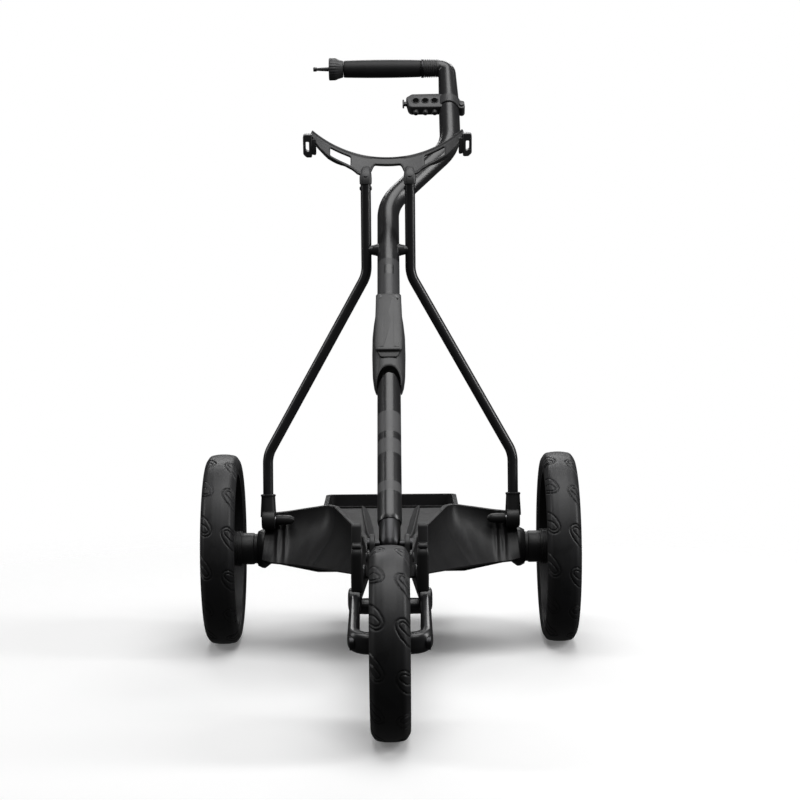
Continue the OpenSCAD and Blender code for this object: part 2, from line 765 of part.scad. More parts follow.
// width of the plate from its upper edge, at x
function plate_w(x) = lookup(x, [[0, 15.5], [stay_top_x - 13, 16], [stay_top_x - 6, 39],
    [stay_top_x + 13, 40], [stay_top_x + 20, 35], [tip_x - 26, 31], [tip_x - 12, 26], [tip_x, 12]]);
plate_xs = [0, 10, 21, 28, 37, 47, 54, 62, 72, 82, 92, 99, 106, 112, tip_x];

// moves the plate's frame into place: X across, Y out of its front, Z down the plate
module on_plate() {
    placed() translate([0, crossbar_y + cradle_back, cradle_z]) rotate([90 + cradle_lean, 0, 0]) children();
}

// band between x0 and x1 across the plate, from a share of its width to another
function plate_band(x0, x1, from, to, n = 5) = concat(
    [for (i = [0:n]) let (x = x0 + (x1 - x0) * i / n) [x, plate_down(x) + from * plate_w(x)]],
    [for (i = [n:-1:0]) let (x = x0 + (x1 - x0) * i / n) [x, plate_down(x) + to * plate_w(x)]]);

module upper_cradle() {
    upper = [for (x = plate_xs) [x, plate_out(x)]];
    color([0.11, 0.11, 0.115]) difference() {
        union() {
            on_plate() for (s = [-1, 1]) mirror([s < 0 ? 1 : 0, 0, 0]) intersection() {
                translate([-0.01, 0, -50]) linear_extrude(110)
                    polygon(concat([for (p = upper) p + [0, plate_t / 2]],
                        [for (i = [len(upper) - 1:-1:0]) upper[i] - [0, plate_t / 2]]));
                along_y(-20, 60) polygon(concat([for (x = plate_xs) [x, plate_down(x)]],
                    [for (i = [1:len(plate_xs)]) let (x = plate_xs[len(plate_xs) - i])
                        [x, plate_down(x) + plate_w(x)]]));
            }
            // sockets for the stays
            placed() for (s = [-1, 1])
                translate([s * stay_top_x, crossbar_y, stay_top_z - 19]) cylinder(h = 34, r = socket_r);
        }
        // strap slots
        on_plate() for (s = [-1, 1]) mirror([s < 0 ? 1 : 0, 0, 0])
            along_y(-20, 60) polygon(plate_band(tip_x - 59, tip_x - 30, 0.26, 0.68));
        placed() for (s = [-1, 1])
            translate([s * stay_top_x, crossbar_y, 0])
                cylinder(h = stay_top_z + seat_gap, r = stay_r + seat_gap);
        // the sockets end at the plate's front
        on_plate() translate([0, plate_t / 2 + plate_out(stay_top_x + socket_r) + 0.5, 0])
            translate([-stay_top_x - socket_r - 1, 0, -60]) cube([2 * (stay_top_x + socket_r + 1), 60, 120]);
    }
}

// rings beside the cradle's tips for the strap
module strap_loops() {
    z = cradle_z + tip_rise;
    color([0.09, 0.09, 0.095]) for (s = [-1, 1]) on_side(s) translate([0, crossbar_y + cradle_back - 8, 0])
        along_y(-6, 6) difference() {
            polygon(rect([tip_x + 0.1, z - 40], [tip_x + 13, z - 4], 4));
            polygon(rect([tip_x + 3.5, z - 31], [tip_x + 9.5, z - 14], 2));
        }
}

// cross pins that stop the cradle from sliding down the stays
module cradle_rivets() {
    color([0.35, 0.35, 0.36]) for (s = [-1, 1]) on_side(s)
        rod_x(stay_top_x - stay_r - 2, stay_top_x + stay_r + 2, crossbar_y, rivet_z, 2);
}

// ---- lower spine ----

module lower_spine_tube() {
    color([0.05, 0.05, 0.055]) on_spine() difference() {
        rod_y(-spine_l + 37, -lower_end, 0, 0, spine_r);
        rod_y(-spine_l + 36, -lower_end - tube_wall, 0, 0, spine_in);
    }
}

module spine_end_sleeve() {
    color([0.35, 0.35, 0.36]) on_spine() difference() {
        union() {
            rod_y(-spine_l, -spine_l + 67, 0, 0, sleeve_r);
            rod_x(-sleeve_r + 0.4, sleeve_r - 0.4, -spine_l, 0, sleeve_r - 1);
        }
        rod_x(-40, 40, -spine_l, 0, pivot_bolt_r + running_gap);
        rod_y(-spine_l + 30, -spine_l + 68, 0, 0, sleeve_r - 3);
    }
}

// low block on the tube that the latch lever's nose closes on
module latch_striker() {
    color([0.6, 0.6, 0.62]) on_spine() difference() {
        translate([-5, -lower_end - 22, 0]) cube([10, 14, spine_r + 2]);
        rod_y(-spine_l, 0, 0, 0, spine_r);
    }
}

// ---- handle and latch ----
function handle_points() = [[0, -upper_end, 0], [0, bend_start, 0], [handle_offset, bend_start + bend_l, 0],
    [handle_offset, handle_l, 0], [handle_offset - handle_elbow - 2, handle_l, 0]];
handle_bends = [90, 90, handle_elbow];
end_r = 12;

// main tube up to its elbow, a plug in its end, and the narrower core that carries the grip
module handle_tube() {
    end_x = handle_offset - handle_elbow - 2;
    color([0.05, 0.05, 0.055]) on_spine() difference() {
        union() {
            bent_tube(handle_points(), handle_bends, spine_r, tube_wall);
            rod_x(end_x - 3, end_x + 1, handle_l, 0, spine_r - 1);
            rod([end_x, handle_l, 0], [grip_x0 + 6, handle_l, 0], end_r, tube_wall);
        }
        rod_x(-40, 40, 0, 0, crossbar_r + running_gap);
    }
}

module handle_pivot_bush() {
    color([0.8, 0.8, 0.78]) on_spine() difference() {
        intersection() {
            rod_x(-30, 30, 0, 0, crossbar_r + 3);
            rod_y(-30, 30, 0, 0, spine_in - seat_gap);
        }
        rod_x(-40, 40, 0, 0, crossbar_r + running_gap);
    }
}

// latch body seen from the front, and from the side
function shroud_plan() = let (h = latch_w / 2, e = spine_r + 2.6)
    rounded(both_sides([[e, -latch_start], [e + 1.6, -latch_start - 40], [h, -latch_end + 66],
        [h - 0.8, -latch_end + 24], [e + 0.4, -latch_end]]), [3, 60, 40, 30, 4, 4, 30, 40, 60, 3]);
function shroud_side() = let (r = spine_r)
    rounded([[-latch_start, -r - 3], [-latch_start, r + 1.5], [lever_pin_y - 8, r + 3], [lever_pin_y - 22, r + 6],
        [-latch_end + 56, r + 6], [-latch_end + 24, r + 3], [-latch_end + 14, 6], [-latch_end, 2],
        [-latch_end, -r - 3]], [3, 3, 10, 20, 12, 4, 14, 4, 12]);

module latch_shroud() {
    color([0.14, 0.14, 0.15]) on_spine() difference() {
        intersection() {
            translate([0, 0, -60]) linear_extrude(140) polygon(shroud_plan());
            along_x(-40, 40) polygon(shroud_side());
        }
        rod_y(-upper_end, 10, 0, 0, spine_r + seat_gap);
        // open channel that the lower tube drops out of
        rod_y(-latch_end - 10, -upper_end + 0.5, 0, 0, spine_r + pass_gap);
        translate([-spine_r - pass_gap, -latch_end - 10, -80])
            cube([2 * (spine_r + pass_gap), latch_end + 10.5 - upper_end, 80]);
        // room for the lever's lug, its spring and nose
        translate([-13, lever_pin_y - 8, spine_r - 4]) cube([26, 15, 20]);
        rod_x(-16.5, 16.5, lever_pin_y, lever_pin_z, lever_pin_r + seat_gap);
        translate([-7, -lower_end - 30, 0]) cube([14, 34, 40]);
    }
}

// long lever over the latch body, lifted by its lower end
module latch_lever() {
    h = latch_w / 2 - 3.8;
    low = -latch_end + 54;
    color([0.22, 0.22, 0.23]) on_spine() difference() {
        union() {
            intersection() {
                translate([0, 0, -10]) linear_extrude(80) polygon(rounded(both_sides(
                    [[h - 5, -latch_start - 2], [h, low + 30], [h, low]]), [4, 30, 5, 5, 30, 4]));
                along_x(-40, 40) polygon(rounded([[-latch_start - 2, lever_z - 1], [-latch_start - 2, lever_z + 3],
                    [lever_pin_y - 30, lever_z + 6], [low + 14, lever_z + 7.5], [low, lever_z + 5],
                    [low, lever_z], [lever_pin_y - 20, lever_z], [lever_pin_y - 4, lever_z - 1]],
                    [1, 3, 30, 10, 2, 1, 4, 4]));
            }
            rod_x(-6, 6, lever_pin_y, lever_pin_z, 4.4);
            // nose that reaches down to the striker
            translate([-4.5, -lower_end - 4, spine_r + 2.6]) cube([9, 7, 8]);
        }
        rod_x(-20, 20, lever_pin_y, lever_pin_z, lever_pin_r + running_gap);
        for (s = [-1, 1])
            translate([s > 0 ? 6 : -14, lever_pin_y - 7, lever_z - 10]) cube([8, 13, 11.6]);
    }
}

module lever_pin() {
    color([0.7, 0.7, 0.72]) on_spine() rod_x(-16, 16, lever_pin_y, lever_pin_z, lever_pin_r);
}

// torsion spring: coils round the pin on both sides of the lug
module lever_spring() {
    wire = 0.45;
    color([0.75, 0.75, 0.77]) on_spine() for (s = [-1, 1], k = [0:4])
        translate([s * (7.4 + k * 1.05), lever_pin_y, lever_pin_z]) rotate([0, 90, 0])
            rotate_extrude($fn = 24) translate([lever_pin_r + 0.6, 0]) circle(wire, $fn = 16);
}

module handle_grip() {
    color([0.05, 0.05, 0.055]) on_spine() difference() {
        union() {
            rod_x(grip_x0, grip_x1 - 6, handle_l, 0, grip_r);
            rod_x(grip_x1 - 5.4, grip_x1, handle_l, 0, grip_r + 1);
            rod_x(grip_x1 - 6, grip_x1 - 5.4, handle_l, 0, grip_r - 1);
        }
        rod_x(grip_x0 + 5.9, grip_x1 + 1, handle_l, 0, end_r + seat_gap);
        rod_x(grip_x0 - 1, grip_x0 + 7, handle_l, 0, 5 + running_gap);
    }
}

// ribbed collar between the grip and the tube's elbow
module grip_collar() {
    rib = (collar_x1 - grip_x1) / 6.6;
    color([0.08, 0.08, 0.085]) on_spine() difference() {
        union() {
            for (k = [0:5])
                rod_x(grip_x1 + k * rib, grip_x1 + (k + 0.6) * rib, handle_l, 0, grip_r + 0.8 - k * 0.2);
            rod_x(grip_x1, collar_x1, handle_l, 0, grip_r - 1.4);
        }
        rod_x(grip_x1 - 1, handle_offset, handle_l, 0, end_r + seat_gap);
    }
}

// shelf clamped on the handle, with three tee sockets in its front
tee_x0 = 30;
tee_low = -6;
tee_high = 13;
function tee_x(k) = tee_x0 + 16.5 + k * tee_pitch;
lug_x = handle_offset + spine_r + 6.5;

module tee_holder() {
    color([0.1, 0.1, 0.105]) on_spine() difference() {
        union() {
            translate([0, tee_u, tee_low]) linear_extrude(tee_high - tee_low)
                polygon(rounded([[tee_x0 + 3, -12], [tee_x0 + 8, -17], [handle_offset - 10, -17],
                    [handle_offset - 10, 17], [tee_x0 + 8, 17], [tee_x0, 8]], [6, 4, 0, 0, 6, 6]));
            // band round the tube, with its lug
            translate([handle_offset, tee_u - 10, 0]) rotate([-90, 0, 0]) cylinder(h = 20, r = spine_r + 3);
            translate([handle_offset + spine_r + 1, tee_u - 17, -7]) cube([9, 22, 14]);
            // stub at the shelf's free end, and the feet of the sockets
            translate([tee_x0 - 4, tee_u - 2.5, 1]) cube([6, 5, 6]);
            translate([tee_x0 - 5, tee_u - 7, 0]) cube([2.5, 14, 8]);
            for (k = [0:2])
                translate([tee_x(k), tee_u - 22, 3]) rotate([-90, 0, 0]) cylinder(h = 6, r = 4.4);
        }
        translate([handle_offset, tee_u - 30, 0]) rotate([-90, 0, 0])
            cylinder(h = 60, r = spine_r + seat_gap);
        for (k = [0:2])
            translate([tee_x(k), tee_u, tee_low - 1]) cylinder(h = tee_high - tee_low + 2, r = tee_hole_r);
        // slit and bolt hole in the lug
        translate([handle_offset + spine_r - 2, tee_u - 18, -1]) cube([20, 24, 2]);
        translate([lug_x, tee_u - 9, -20]) cylinder(h = 40, r = 2 + seat_gap);
    }
}

module tee_holder_bolt() {
    color([0.6, 0.6, 0.62]) on_spine() translate([lug_x, tee_u - 9, 0]) {
        translate([0, 0, -10]) cylinder(h = 20, r = 2);
        translate([0, 0, 7]) cylinder(h = 4, r = 3.6);
        translate([0, 0, -10.5]) cylinder(h = 3.5, r = 3.6);
    }
}

// dial on the grip's free end; its spindle turns inside the grip
module speed_dial() {
    color([0.1, 0.1, 0.105]) on_spine() translate([0, handle_l, 0]) difference() {
        union() {
            translate([grip_x0 - 0.4, 0, 0]) rotate([0, -90, 0])
                cylinder(h = 14, r1 = dial_r - 4, r2 = dial_r);
            rod_x(dial_x0, grip_x0 - 14, 0, 0, dial_r);
            rod_x(grip_x0 - 0.5, grip_x0 + 5.5, 0, 0, 5);
        }
        rod_x(dial_x0 - 1, dial_x0 + 12, 0, 0, stub_r + running_gap);
        for (k = [0:17])
            rotate([k * 20, 0, 0]) rod_x(dial_x0 - 1, grip_x0 - 16, 0, dial_r + 0.9, 1.6);
    }
}

// slim button in the dial's end
module power_button() {
    color([0.12, 0.12, 0.125]) on_spine() translate([0, handle_l, 0]) {
        rod_x(dial_x0 - stub_l + 4, dial_x0 + 9, 0, 0, stub_r);
        rod_x(dial_x0 - stub_l, dial_x0 - stub_l + 4, 0, 0, stub_r + 0.9);
    }
}

on_rear_wheel(-1) tyre(rear_r);  // rear_tyre_left
on_rear_wheel(1) tyre(rear_r);  // rear_tyre_right
rear_rim(-1);  // rear_rim_left
rear_rim(1);  // rear_rim_right
hub_cap(-1);  // hub_cap_left
hub_cap(1);  // hub_cap_right
drive_shaft(-1);  // drive_shaft_left
drive_shaft(1);  // drive_shaft_right
on_front_wheel() tyre(front_r);  // front_tyre
front_rim();
front_bearings();
chassis_shell();
underbody();
underbody_screws();
axle_tube(-1);  // axle_tube_left
axle_tube(1);  // axle_tube_right
bearing_flange(-1);  // bearing_flange_left
bearing_flange(1);  // bearing_flange_right
axle_bearings();
motor(-1);  // motor_left
motor(1);  // motor_right
gearbox(-1);  // gearbox_left
gearbox(1);  // gearbox_right
motor_controller();
battery_tray();
battery_pack();
battery_contacts();
fold_pivot_pins();
spine_pivot_bolt();
fork_leg(-1);  // fork_leg_left
fork_leg(1);  // fork_leg_right
fork_crossbar();
front_axle();
front_axle_nuts();
bag_stop(-1);  // bag_stop_left
bag_stop(1);  // bag_stop_right
bag_stop_pads();
stay(-1);  // stay_left
stay(1);  // stay_right
stay_knuckle(-1);  // stay_knuckle_left
stay_knuckle(1);  // stay_knuckle_right
crossbar();
upper_cradle();
strap_loops();
cradle_rivets();
lower_spine_tube();
spine_end_sleeve();
latch_striker();
handle_tube();
handle_pivot_bush();
latch_shroud();
latch_lever();
lever_pin();
lever_spring();
handle_grip();
grip_collar();
tee_holder();
tee_holder_bolt();
speed_dial();
power_button();
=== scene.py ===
import json
import math

import bmesh
import bpy
import numpy as np
from mathutils import Matrix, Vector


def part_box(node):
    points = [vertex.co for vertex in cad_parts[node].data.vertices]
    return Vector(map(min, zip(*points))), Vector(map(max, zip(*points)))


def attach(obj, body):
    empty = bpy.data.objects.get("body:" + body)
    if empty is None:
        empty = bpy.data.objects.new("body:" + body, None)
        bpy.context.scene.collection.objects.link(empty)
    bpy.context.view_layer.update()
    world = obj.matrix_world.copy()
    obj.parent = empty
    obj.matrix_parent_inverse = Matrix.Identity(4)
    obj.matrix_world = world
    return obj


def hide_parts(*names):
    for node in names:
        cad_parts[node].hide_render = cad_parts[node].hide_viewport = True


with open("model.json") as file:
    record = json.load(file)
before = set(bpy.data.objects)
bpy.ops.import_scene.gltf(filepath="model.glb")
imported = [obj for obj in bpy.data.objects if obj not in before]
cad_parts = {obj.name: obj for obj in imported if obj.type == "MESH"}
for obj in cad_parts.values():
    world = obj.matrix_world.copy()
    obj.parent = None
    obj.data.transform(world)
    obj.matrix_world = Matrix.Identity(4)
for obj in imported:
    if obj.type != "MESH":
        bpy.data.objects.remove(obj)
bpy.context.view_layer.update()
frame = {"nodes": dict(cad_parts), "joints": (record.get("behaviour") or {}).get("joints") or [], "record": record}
print("frame loaded:", len(frame["nodes"]), "nodes")

# everything below is worked out in millimetres and put into the meshes in metres
mm = 0.001


def boxOf(node):
    low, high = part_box(node)
    return np.array(low) / mm, np.array(high) / mm


def middleOf(node):
    low, high = boxOf(node)
    return (low + high) / 2


jointAt = {j["name"]: np.array(j["pos_m"]) / mm for j in frame["joints"] if "pos_m" in j}
crossbarAt = jointAt["handle_fold"]
spinePivot = jointAt["lower_spine_fold"]
kneePivot = jointAt["frame_fold"]
rearAxle = middleOf("rear_tyre_left") * [0, 1, 1]
frontAxle = middleOf("front_tyre")
spineRun = crossbarAt - spinePivot
spineLength = float(np.linalg.norm(spineRun))
alongSpine = spineRun / spineLength
outOfSpine = np.array([0, -alongSpine[2], alongSpine[1]])


def onSpine(points):
    # (across, up along the tube from the crossbar, out of its front) to the shared frame
    p = np.asarray(points, float)
    return crossbarAt + p[..., :1] * [1, 0, 0] + p[..., 1:2] * alongSpine + p[..., 2:3] * outOfSpine


# ---- camera ----

cameraFit = {"across": 13.1, "ahead": 3250, "height": 681.4, "pitch": 5.213, "yaw": 0.051, "roll": 0.507, "lens": 93.09}


def makeCamera(c):
    pitch, yaw, roll = (math.radians(c[k]) for k in ("pitch", "yaw", "roll"))
    ahead = np.array([math.sin(yaw) * math.cos(pitch), math.cos(yaw) * math.cos(pitch), -math.sin(pitch)])
    right = np.array([math.cos(yaw), -math.sin(yaw), 0])
    up = np.cross(right, ahead)
    x = right * math.cos(roll) - up * math.sin(roll)
    y = right * math.sin(roll) + up * math.cos(roll)
    data = bpy.data.cameras.new("camera")
    data.sensor_width = 36
    data.lens = c["lens"]
    data.clip_end = 50
    camera = bpy.data.objects.new("camera", data)
    bpy.context.scene.collection.objects.link(camera)
    place = np.eye(4)
    place[:3, 0], place[:3, 1], place[:3, 2] = x, y, -ahead
    place[:3, 3] = np.array([c["across"], rearAxle[1] - c["ahead"], c["height"]]) * mm
    camera.matrix_world = Matrix(place.tolist())
    bpy.context.scene.camera = camera


makeCamera(cameraFit)
print("camera placed")


# ---- finishes ----

class Wire:
    # a node socket that can be added, subtracted, multiplied and divided
    def __init__(self, finish, socket):
        self.finish = finish
        self.socket = socket

    def maths(self, operation, a, b=None, c=None):
        sockets = {k: v for k, v in enumerate((a, b, c)) if v is not None}
        return self.finish.node("ShaderNodeMath", {"operation": operation}, sockets)

    def __add__(self, other): return self.maths("ADD", self, other)
    def __radd__(self, other): return self.maths("ADD", other, self)
    def __sub__(self, other): return self.maths("SUBTRACT", self, other)
    def __rsub__(self, other): return self.maths("SUBTRACT", other, self)
    def __mul__(self, other): return self.maths("MULTIPLY", self, other)
    def __rmul__(self, other): return self.maths("MULTIPLY", other, self)
    def __truediv__(self, other): return self.maths("DIVIDE", self, other)
    def above(self, level): return self.maths("GREATER_THAN", self, level)
    def below(self, level): return self.maths("LESS_THAN", self, level)
    def size(self): return self.maths("ABSOLUTE", self)
    def within(self, low, high): return self.above(low) * self.below(high)


class Finish:
    # a procedural material; every pattern reads Object coordinates
    def __init__(self, name, colour, roughness, metallic=0.0, coat=0.0, specular=0.5):
        self.material = bpy.data.materials.new(name)
        self.material.use_nodes = True
        self.material.diffuse_color = (*colour, 1)
        self.tree = self.material.node_tree
        self.shader = self.tree.nodes["Principled BSDF"]
        self.set("Base Color", (*colour, 1))
        self.set("Roughness", roughness)
        self.set("Metallic", metallic)
        self.set("Coat Weight", coat)
        self.shader.inputs["Coat Roughness"].default_value = 0.12
        self.shader.inputs["Specular IOR Level"].default_value = specular
        self.colour = colour
        self.roughness = roughness

    def node(self, kind, settings, sockets, output=0):
        made = self.tree.nodes.new(kind)
        for key, value in settings.items():
            setattr(made, key, value)
        for key, value in sockets.items():
            if isinstance(value, Wire):
                self.tree.links.new(value.socket, made.inputs[key])
            else:
                made.inputs[key].default_value = value
        return Wire(self, made.outputs[output])

    def set(self, name, value):
        if isinstance(value, Wire):
            self.tree.links.new(value.socket, self.shader.inputs[name])
        else:
            self.shader.inputs[name].default_value = value

    def place(self):
        return self.node("ShaderNodeTexCoord", {}, {}, "Object")

    def noise(self, size, detail=2.0, stretch=(1, 1, 1)):
        # cloudy pattern whose blobs are about size millimetres wide
        spot = self.node("ShaderNodeMapping", {}, {"Vector": self.place(), "Scale": stretch})
        return self.node("ShaderNodeTexNoise", {}, {"Vector": spot, "Scale": 1 / (size * mm), "Detail": detail})

    def grain(self, size):
        # pebbled pattern of cells about size millimetres wide
        return self.node("ShaderNodeTexVoronoi", {}, {"Vector": self.place(), "Scale": 1 / (size * mm)})

    def mix(self, share, a, b):
        return self.node("ShaderNodeMix", {"data_type": "RGBA"}, {"Factor": share, 6: a, 7: b}, 2)

    def bump(self, height, depth):
        self.set("Normal", self.node("ShaderNodeBump", {}, {"Height": height, "Distance": depth * mm, "Strength": 1.0}))

    def tint(self, share, colour):
        # blends the base colour towards another where share is 1
        self.set("Base Color", self.mix(share, (*self.colour, 1), (*colour, 1)))

    def slope(self, place, direction, origin):
        # distance in millimetres along a direction from an origin
        shifted = self.node("ShaderNodeVectorMath", {"operation": "SUBTRACT"}, {0: place, 1: tuple(np.array(origin) * mm)})
        reach = self.node("ShaderNodeVectorMath", {"operation": "DOT_PRODUCT"}, {0: shifted, 1: tuple(direction)}, "Value")
        return reach * (1 / mm)


def mouldedPlastic(name, colour, roughness, grainSize=0.55, grainDepth=0.05, specular=0.5):
    # satin moulded plastic: pebble grain, cloudy gloss and a faint drift of shade
    f = Finish(name, colour, roughness, specular=specular)
    cloud = f.noise(34, 3)
    fine = f.noise(3.5, 4)
    f.set("Roughness", (cloud - 0.5) * 0.16 + (fine - 0.5) * 0.08 + roughness)
    lighter = tuple(min(1, c * 1.35 + 0.004) for c in colour)
    f.tint(cloud * 0.7, lighter)
    f.bump(f.grain(grainSize) * 0.7 + fine * 0.5, grainDepth)
    return f


def tyreRubber():
    # moulded tyre rubber: dull, with a dusting on the tread and fine pores
    f = Finish("tyreRubber", (0.016, 0.016, 0.017), 0.5, specular=0.45)
    cloud = f.noise(26, 4)
    pores = f.noise(1.1, 2)
    f.set("Roughness", (cloud - 0.5) * 0.22 + (pores - 0.5) * 0.1 + 0.47)
    f.tint(cloud.above(0.42) * cloud * 0.5, (0.034, 0.034, 0.036))
    f.bump(pores * 0.6 + f.grain(0.8) * 0.4, 0.05)
    return f


def glossPaint(name, colour=(0.012, 0.012, 0.013), roughness=0.34):
    # gloss powder coat on steel or aluminium tube: faint orange peel, drawn streaks and a clear top coat
    f = Finish(name, colour, roughness, coat=0.3, specular=0.5)
    f.set("Coat Roughness", 0.2)
    peel = f.noise(3.2, 2)
    streak = f.noise(26, 3)
    f.set("Roughness", (streak - 0.5) * 0.12 + (peel - 0.5) * 0.04 + roughness)
    f.tint(streak * 0.6, tuple(c * 1.7 for c in colour))
    f.bump(peel, 0.006)
    return f


def spinePaint():
    # the spine's gloss paint with its plain grey bands, measured down the tube from the crossbar
    f = glossPaint("spinePaint", (0.014, 0.014, 0.015), 0.32)
    bands = {"upper": (-118, -34), "first": (-382, -344), "second": (-421, -395), "third": (-490, -473)}
    spot = f.place()
    down = f.slope(spot, alongSpine, crossbarAt)
    across = f.slope(spot, (1, 0, 0), crossbarAt)
    front = f.slope(spot, outOfSpine, crossbarAt).above(-3)
    window = down.within(-67, -48) * across.within(-6.5, 8.5) * front
    line = down.within(-107.6, -106.2) * across.within(-8, 8) * front
    upper = down.within(*bands["upper"]) * (1 - window) * (1 - line)
    lower = down.within(*bands["first"]) + down.within(*bands["second"]) + down.within(*bands["third"])
    grey = f.mix(lower, (*f.colour, 1), (0.085, 0.085, 0.087, 1))
    f.set("Base Color", f.mix(upper, grey, (0.045, 0.045, 0.047, 1)))
    cloud = f.noise(9, 3)
    f.set("Roughness", (upper + lower) * 0.14 + (cloud - 0.5) * 0.08 + 0.32)
    f.set("Coat Weight", 0.3 - (upper + lower) * 0.2)
    return f


def machinedMetal(name, colour, roughness):
    # turned or plated steel: fine scratches and cloudy gloss
    f = Finish(name, colour, roughness, metallic=1.0)
    scratch = f.noise(1.4, 3, (12, 1, 1))
    f.set("Roughness", (scratch - 0.5) * 0.25 + roughness)
    f.tint(f.noise(8, 3) * 0.5, tuple(c * 0.7 for c in colour))
    f.bump(scratch, 0.02)
    return f


def gripRubber():
    # soft grip skin: tight pebble and a dull sheen
    f = Finish("gripRubber", (0.012, 0.012, 0.0125), 0.48, specular=0.28)
    fine = f.noise(2.0, 3)
    f.set("Roughness", (fine - 0.5) * 0.2 + 0.46)
    f.tint(f.noise(18, 2) * 0.7, (0.02, 0.02, 0.021))
    f.bump(f.grain(0.9) + fine * 0.4, 0.09)
    return f


finishes = {
    "tyre": tyreRubber(),
    "wheel": mouldedPlastic("wheelPlastic", (0.02, 0.02, 0.021), 0.4),
    "hub": mouldedPlastic("hubPlastic", (0.034, 0.034, 0.035), 0.36),
    "steel": machinedMetal("platedSteel", (0.42, 0.42, 0.43), 0.32),
    "darkSteel": machinedMetal("blackedSteel", (0.06, 0.06, 0.062), 0.38),
    "housing": mouldedPlastic("housingPlastic", (0.015, 0.015, 0.0155), 0.42, specular=0.38),
    "deck": mouldedPlastic("deckPlastic", (0.03, 0.03, 0.031), 0.46, specular=0.38),
    "paint": glossPaint("glossPaint"),
    "spine": spinePaint(),
    "motor": machinedMetal("motorCase", (0.4, 0.4, 0.41), 0.4),
    "board": mouldedPlastic("boardCoat", (0.03, 0.12, 0.05), 0.5),
    "battery": mouldedPlastic("batteryCase", (0.03, 0.03, 0.032), 0.5),
    "brass": machinedMetal("contactBrass", (0.7, 0.5, 0.2), 0.3),
    "cradle": mouldedPlastic("cradlePlastic", (0.034, 0.034, 0.035), 0.44),
    "latch": mouldedPlastic("latchPlastic", (0.035, 0.035, 0.036), 0.4),
    "lever": mouldedPlastic("leverPlastic", (0.05, 0.05, 0.051), 0.44),
    "grip": gripRubber(),
    # near-black finish for the discs in the tee holder's sockets: painted shade for the inside of the holes
    "shade": mouldedPlastic("socketShade", (0.002, 0.002, 0.002), 0.9, specular=0.03),
    "pad": mouldedPlastic("padRubber", (0.03, 0.03, 0.031), 0.6, 1.2, 0.12),
    "sleeve": machinedMetal("sleeveMetal", (0.055, 0.055, 0.057), 0.36),
    "nylon": mouldedPlastic("bushNylon", (0.6, 0.6, 0.57), 0.5),
}
slotFinish = {
    "tyre_rubber": "tyre", "wheel_plastic": "wheel", "hub_plastic": "hub", "steel": "steel",
    "housing_plastic": "housing", "tube_black": "paint", "motor_metal": "motor", "board_green": "board",
    "battery_plastic": "battery", "contact_brass": "brass", "cradle_plastic": "cradle", "latch_plastic": "latch",
    "lever_plastic": "lever", "grip_rubber": "grip", "pad_rubber": "pad", "sleeve_metal": "sleeve",
    "bush_nylon": "nylon",
}
for entry in frame["record"]["subparts"]:
    node = frame["nodes"][entry["node"]]
    node.data.materials.clear()
    node.data.materials.append(finishes[slotFinish[entry["material_slot"]]].material)
for dark in ("front_axle", "front_axle_nuts", "spine_pivot_bolt", "tee_holder_bolt", "cradle_rivets"):
    frame["nodes"][dark].data.materials[0] = finishes["darkSteel"].material
print("finishes made:", len(finishes))


# ---- surfaces ----

def grid(points, closeRows=False, closeCols=False, capStart=False, capEnd=False):
    # points is rows by columns by 3; neighbours are joined by quads, ends may be capped by one face
    p = np.asarray(points, float)
    rows, cols = p.shape[:2]
    i = np.arange(rows if closeRows else rows - 1)
    j = np.arange(cols if closeCols else cols - 1)
    a = i[:, None] * cols + j[None, :]
    b = i[:, None] * cols + (j[None, :] + 1) % cols
    c = ((i[:, None] + 1) % rows) * cols + (j[None, :] + 1) % cols
    d = ((i[:, None] + 1) % rows) * cols + j[None, :]
    faces = np.stack([a, b, c, d], -1).reshape(-1, 4).tolist()
    if capStart:
        faces.append(list(range(cols))[::-1])
    if capEnd:
        faces.append(list(range((rows - 1) * cols, rows * cols)))
    return p.reshape(-1, 3), faces


def makePiece(name, parts, finish, body, replaces=(), sharp=32, place=None):
    # joins grids into one mesh in the shared frame, closes seams and points the faces outwards
    verts, faces, start = [], [], 0
    for points, quads in parts:
        verts.append(points)
        faces += [[k + start for k in q] for q in quads]
        start += len(points)
    spots = np.concatenate(verts)
    if place is not None:
        spots = place(spots)
    mesh = bpy.data.meshes.new(name)
    mesh.from_pydata((spots * mm).tolist(), [], faces)
    work = bmesh.new()
    work.from_mesh(mesh)
    bmesh.ops.remove_doubles(work, verts=work.verts, dist=0.00002)
    bmesh.ops.dissolve_degenerate(work, edges=work.edges, dist=0.00001)
    bmesh.ops.recalc_face_normals(work, faces=work.faces)
    work.to_mesh(mesh)
    work.free()
    mesh.shade_smooth()
    mesh.set_sharp_from_angle(angle=math.radians(sharp))
    piece = bpy.data.objects.new(name, mesh)
    bpy.context.scene.collection.objects.link(piece)
    mesh.materials.append(finishes[finish].material)
    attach(piece, body)
    if replaces:
        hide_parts(*replaces)
    return piece


def roundPath(points, radii, step=3.0):
    # a polyline whose inner corners are arcs of the given radii, as closely spaced points
    p = np.asarray(points, float)
    out = [p[0]]
    for k in range(1, len(p) - 1):
        a = (p[k - 1] - p[k]) / np.linalg.norm(p[k - 1] - p[k])
        b = (p[k + 1] - p[k]) / np.linalg.norm(p[k + 1] - p[k])
        half = math.acos(np.clip(a @ b, -1, 1)) / 2
        centre = p[k] + (a + b) / np.linalg.norm(a + b) * radii[k - 1] / math.sin(half)
        u = p[k] + a * radii[k - 1] / math.tan(half) - centre
        v = p[k] + b * radii[k - 1] / math.tan(half) - centre
        turn = math.pi - 2 * half
        t = np.linspace(0, 1, max(4, int(turn * radii[k - 1] / step) + 2))[:, None]
        out += list(centre + (np.sin((1 - t) * turn) * u + np.sin(t * turn) * v) / math.sin(turn))
    out.append(p[-1])
    return np.array(out)


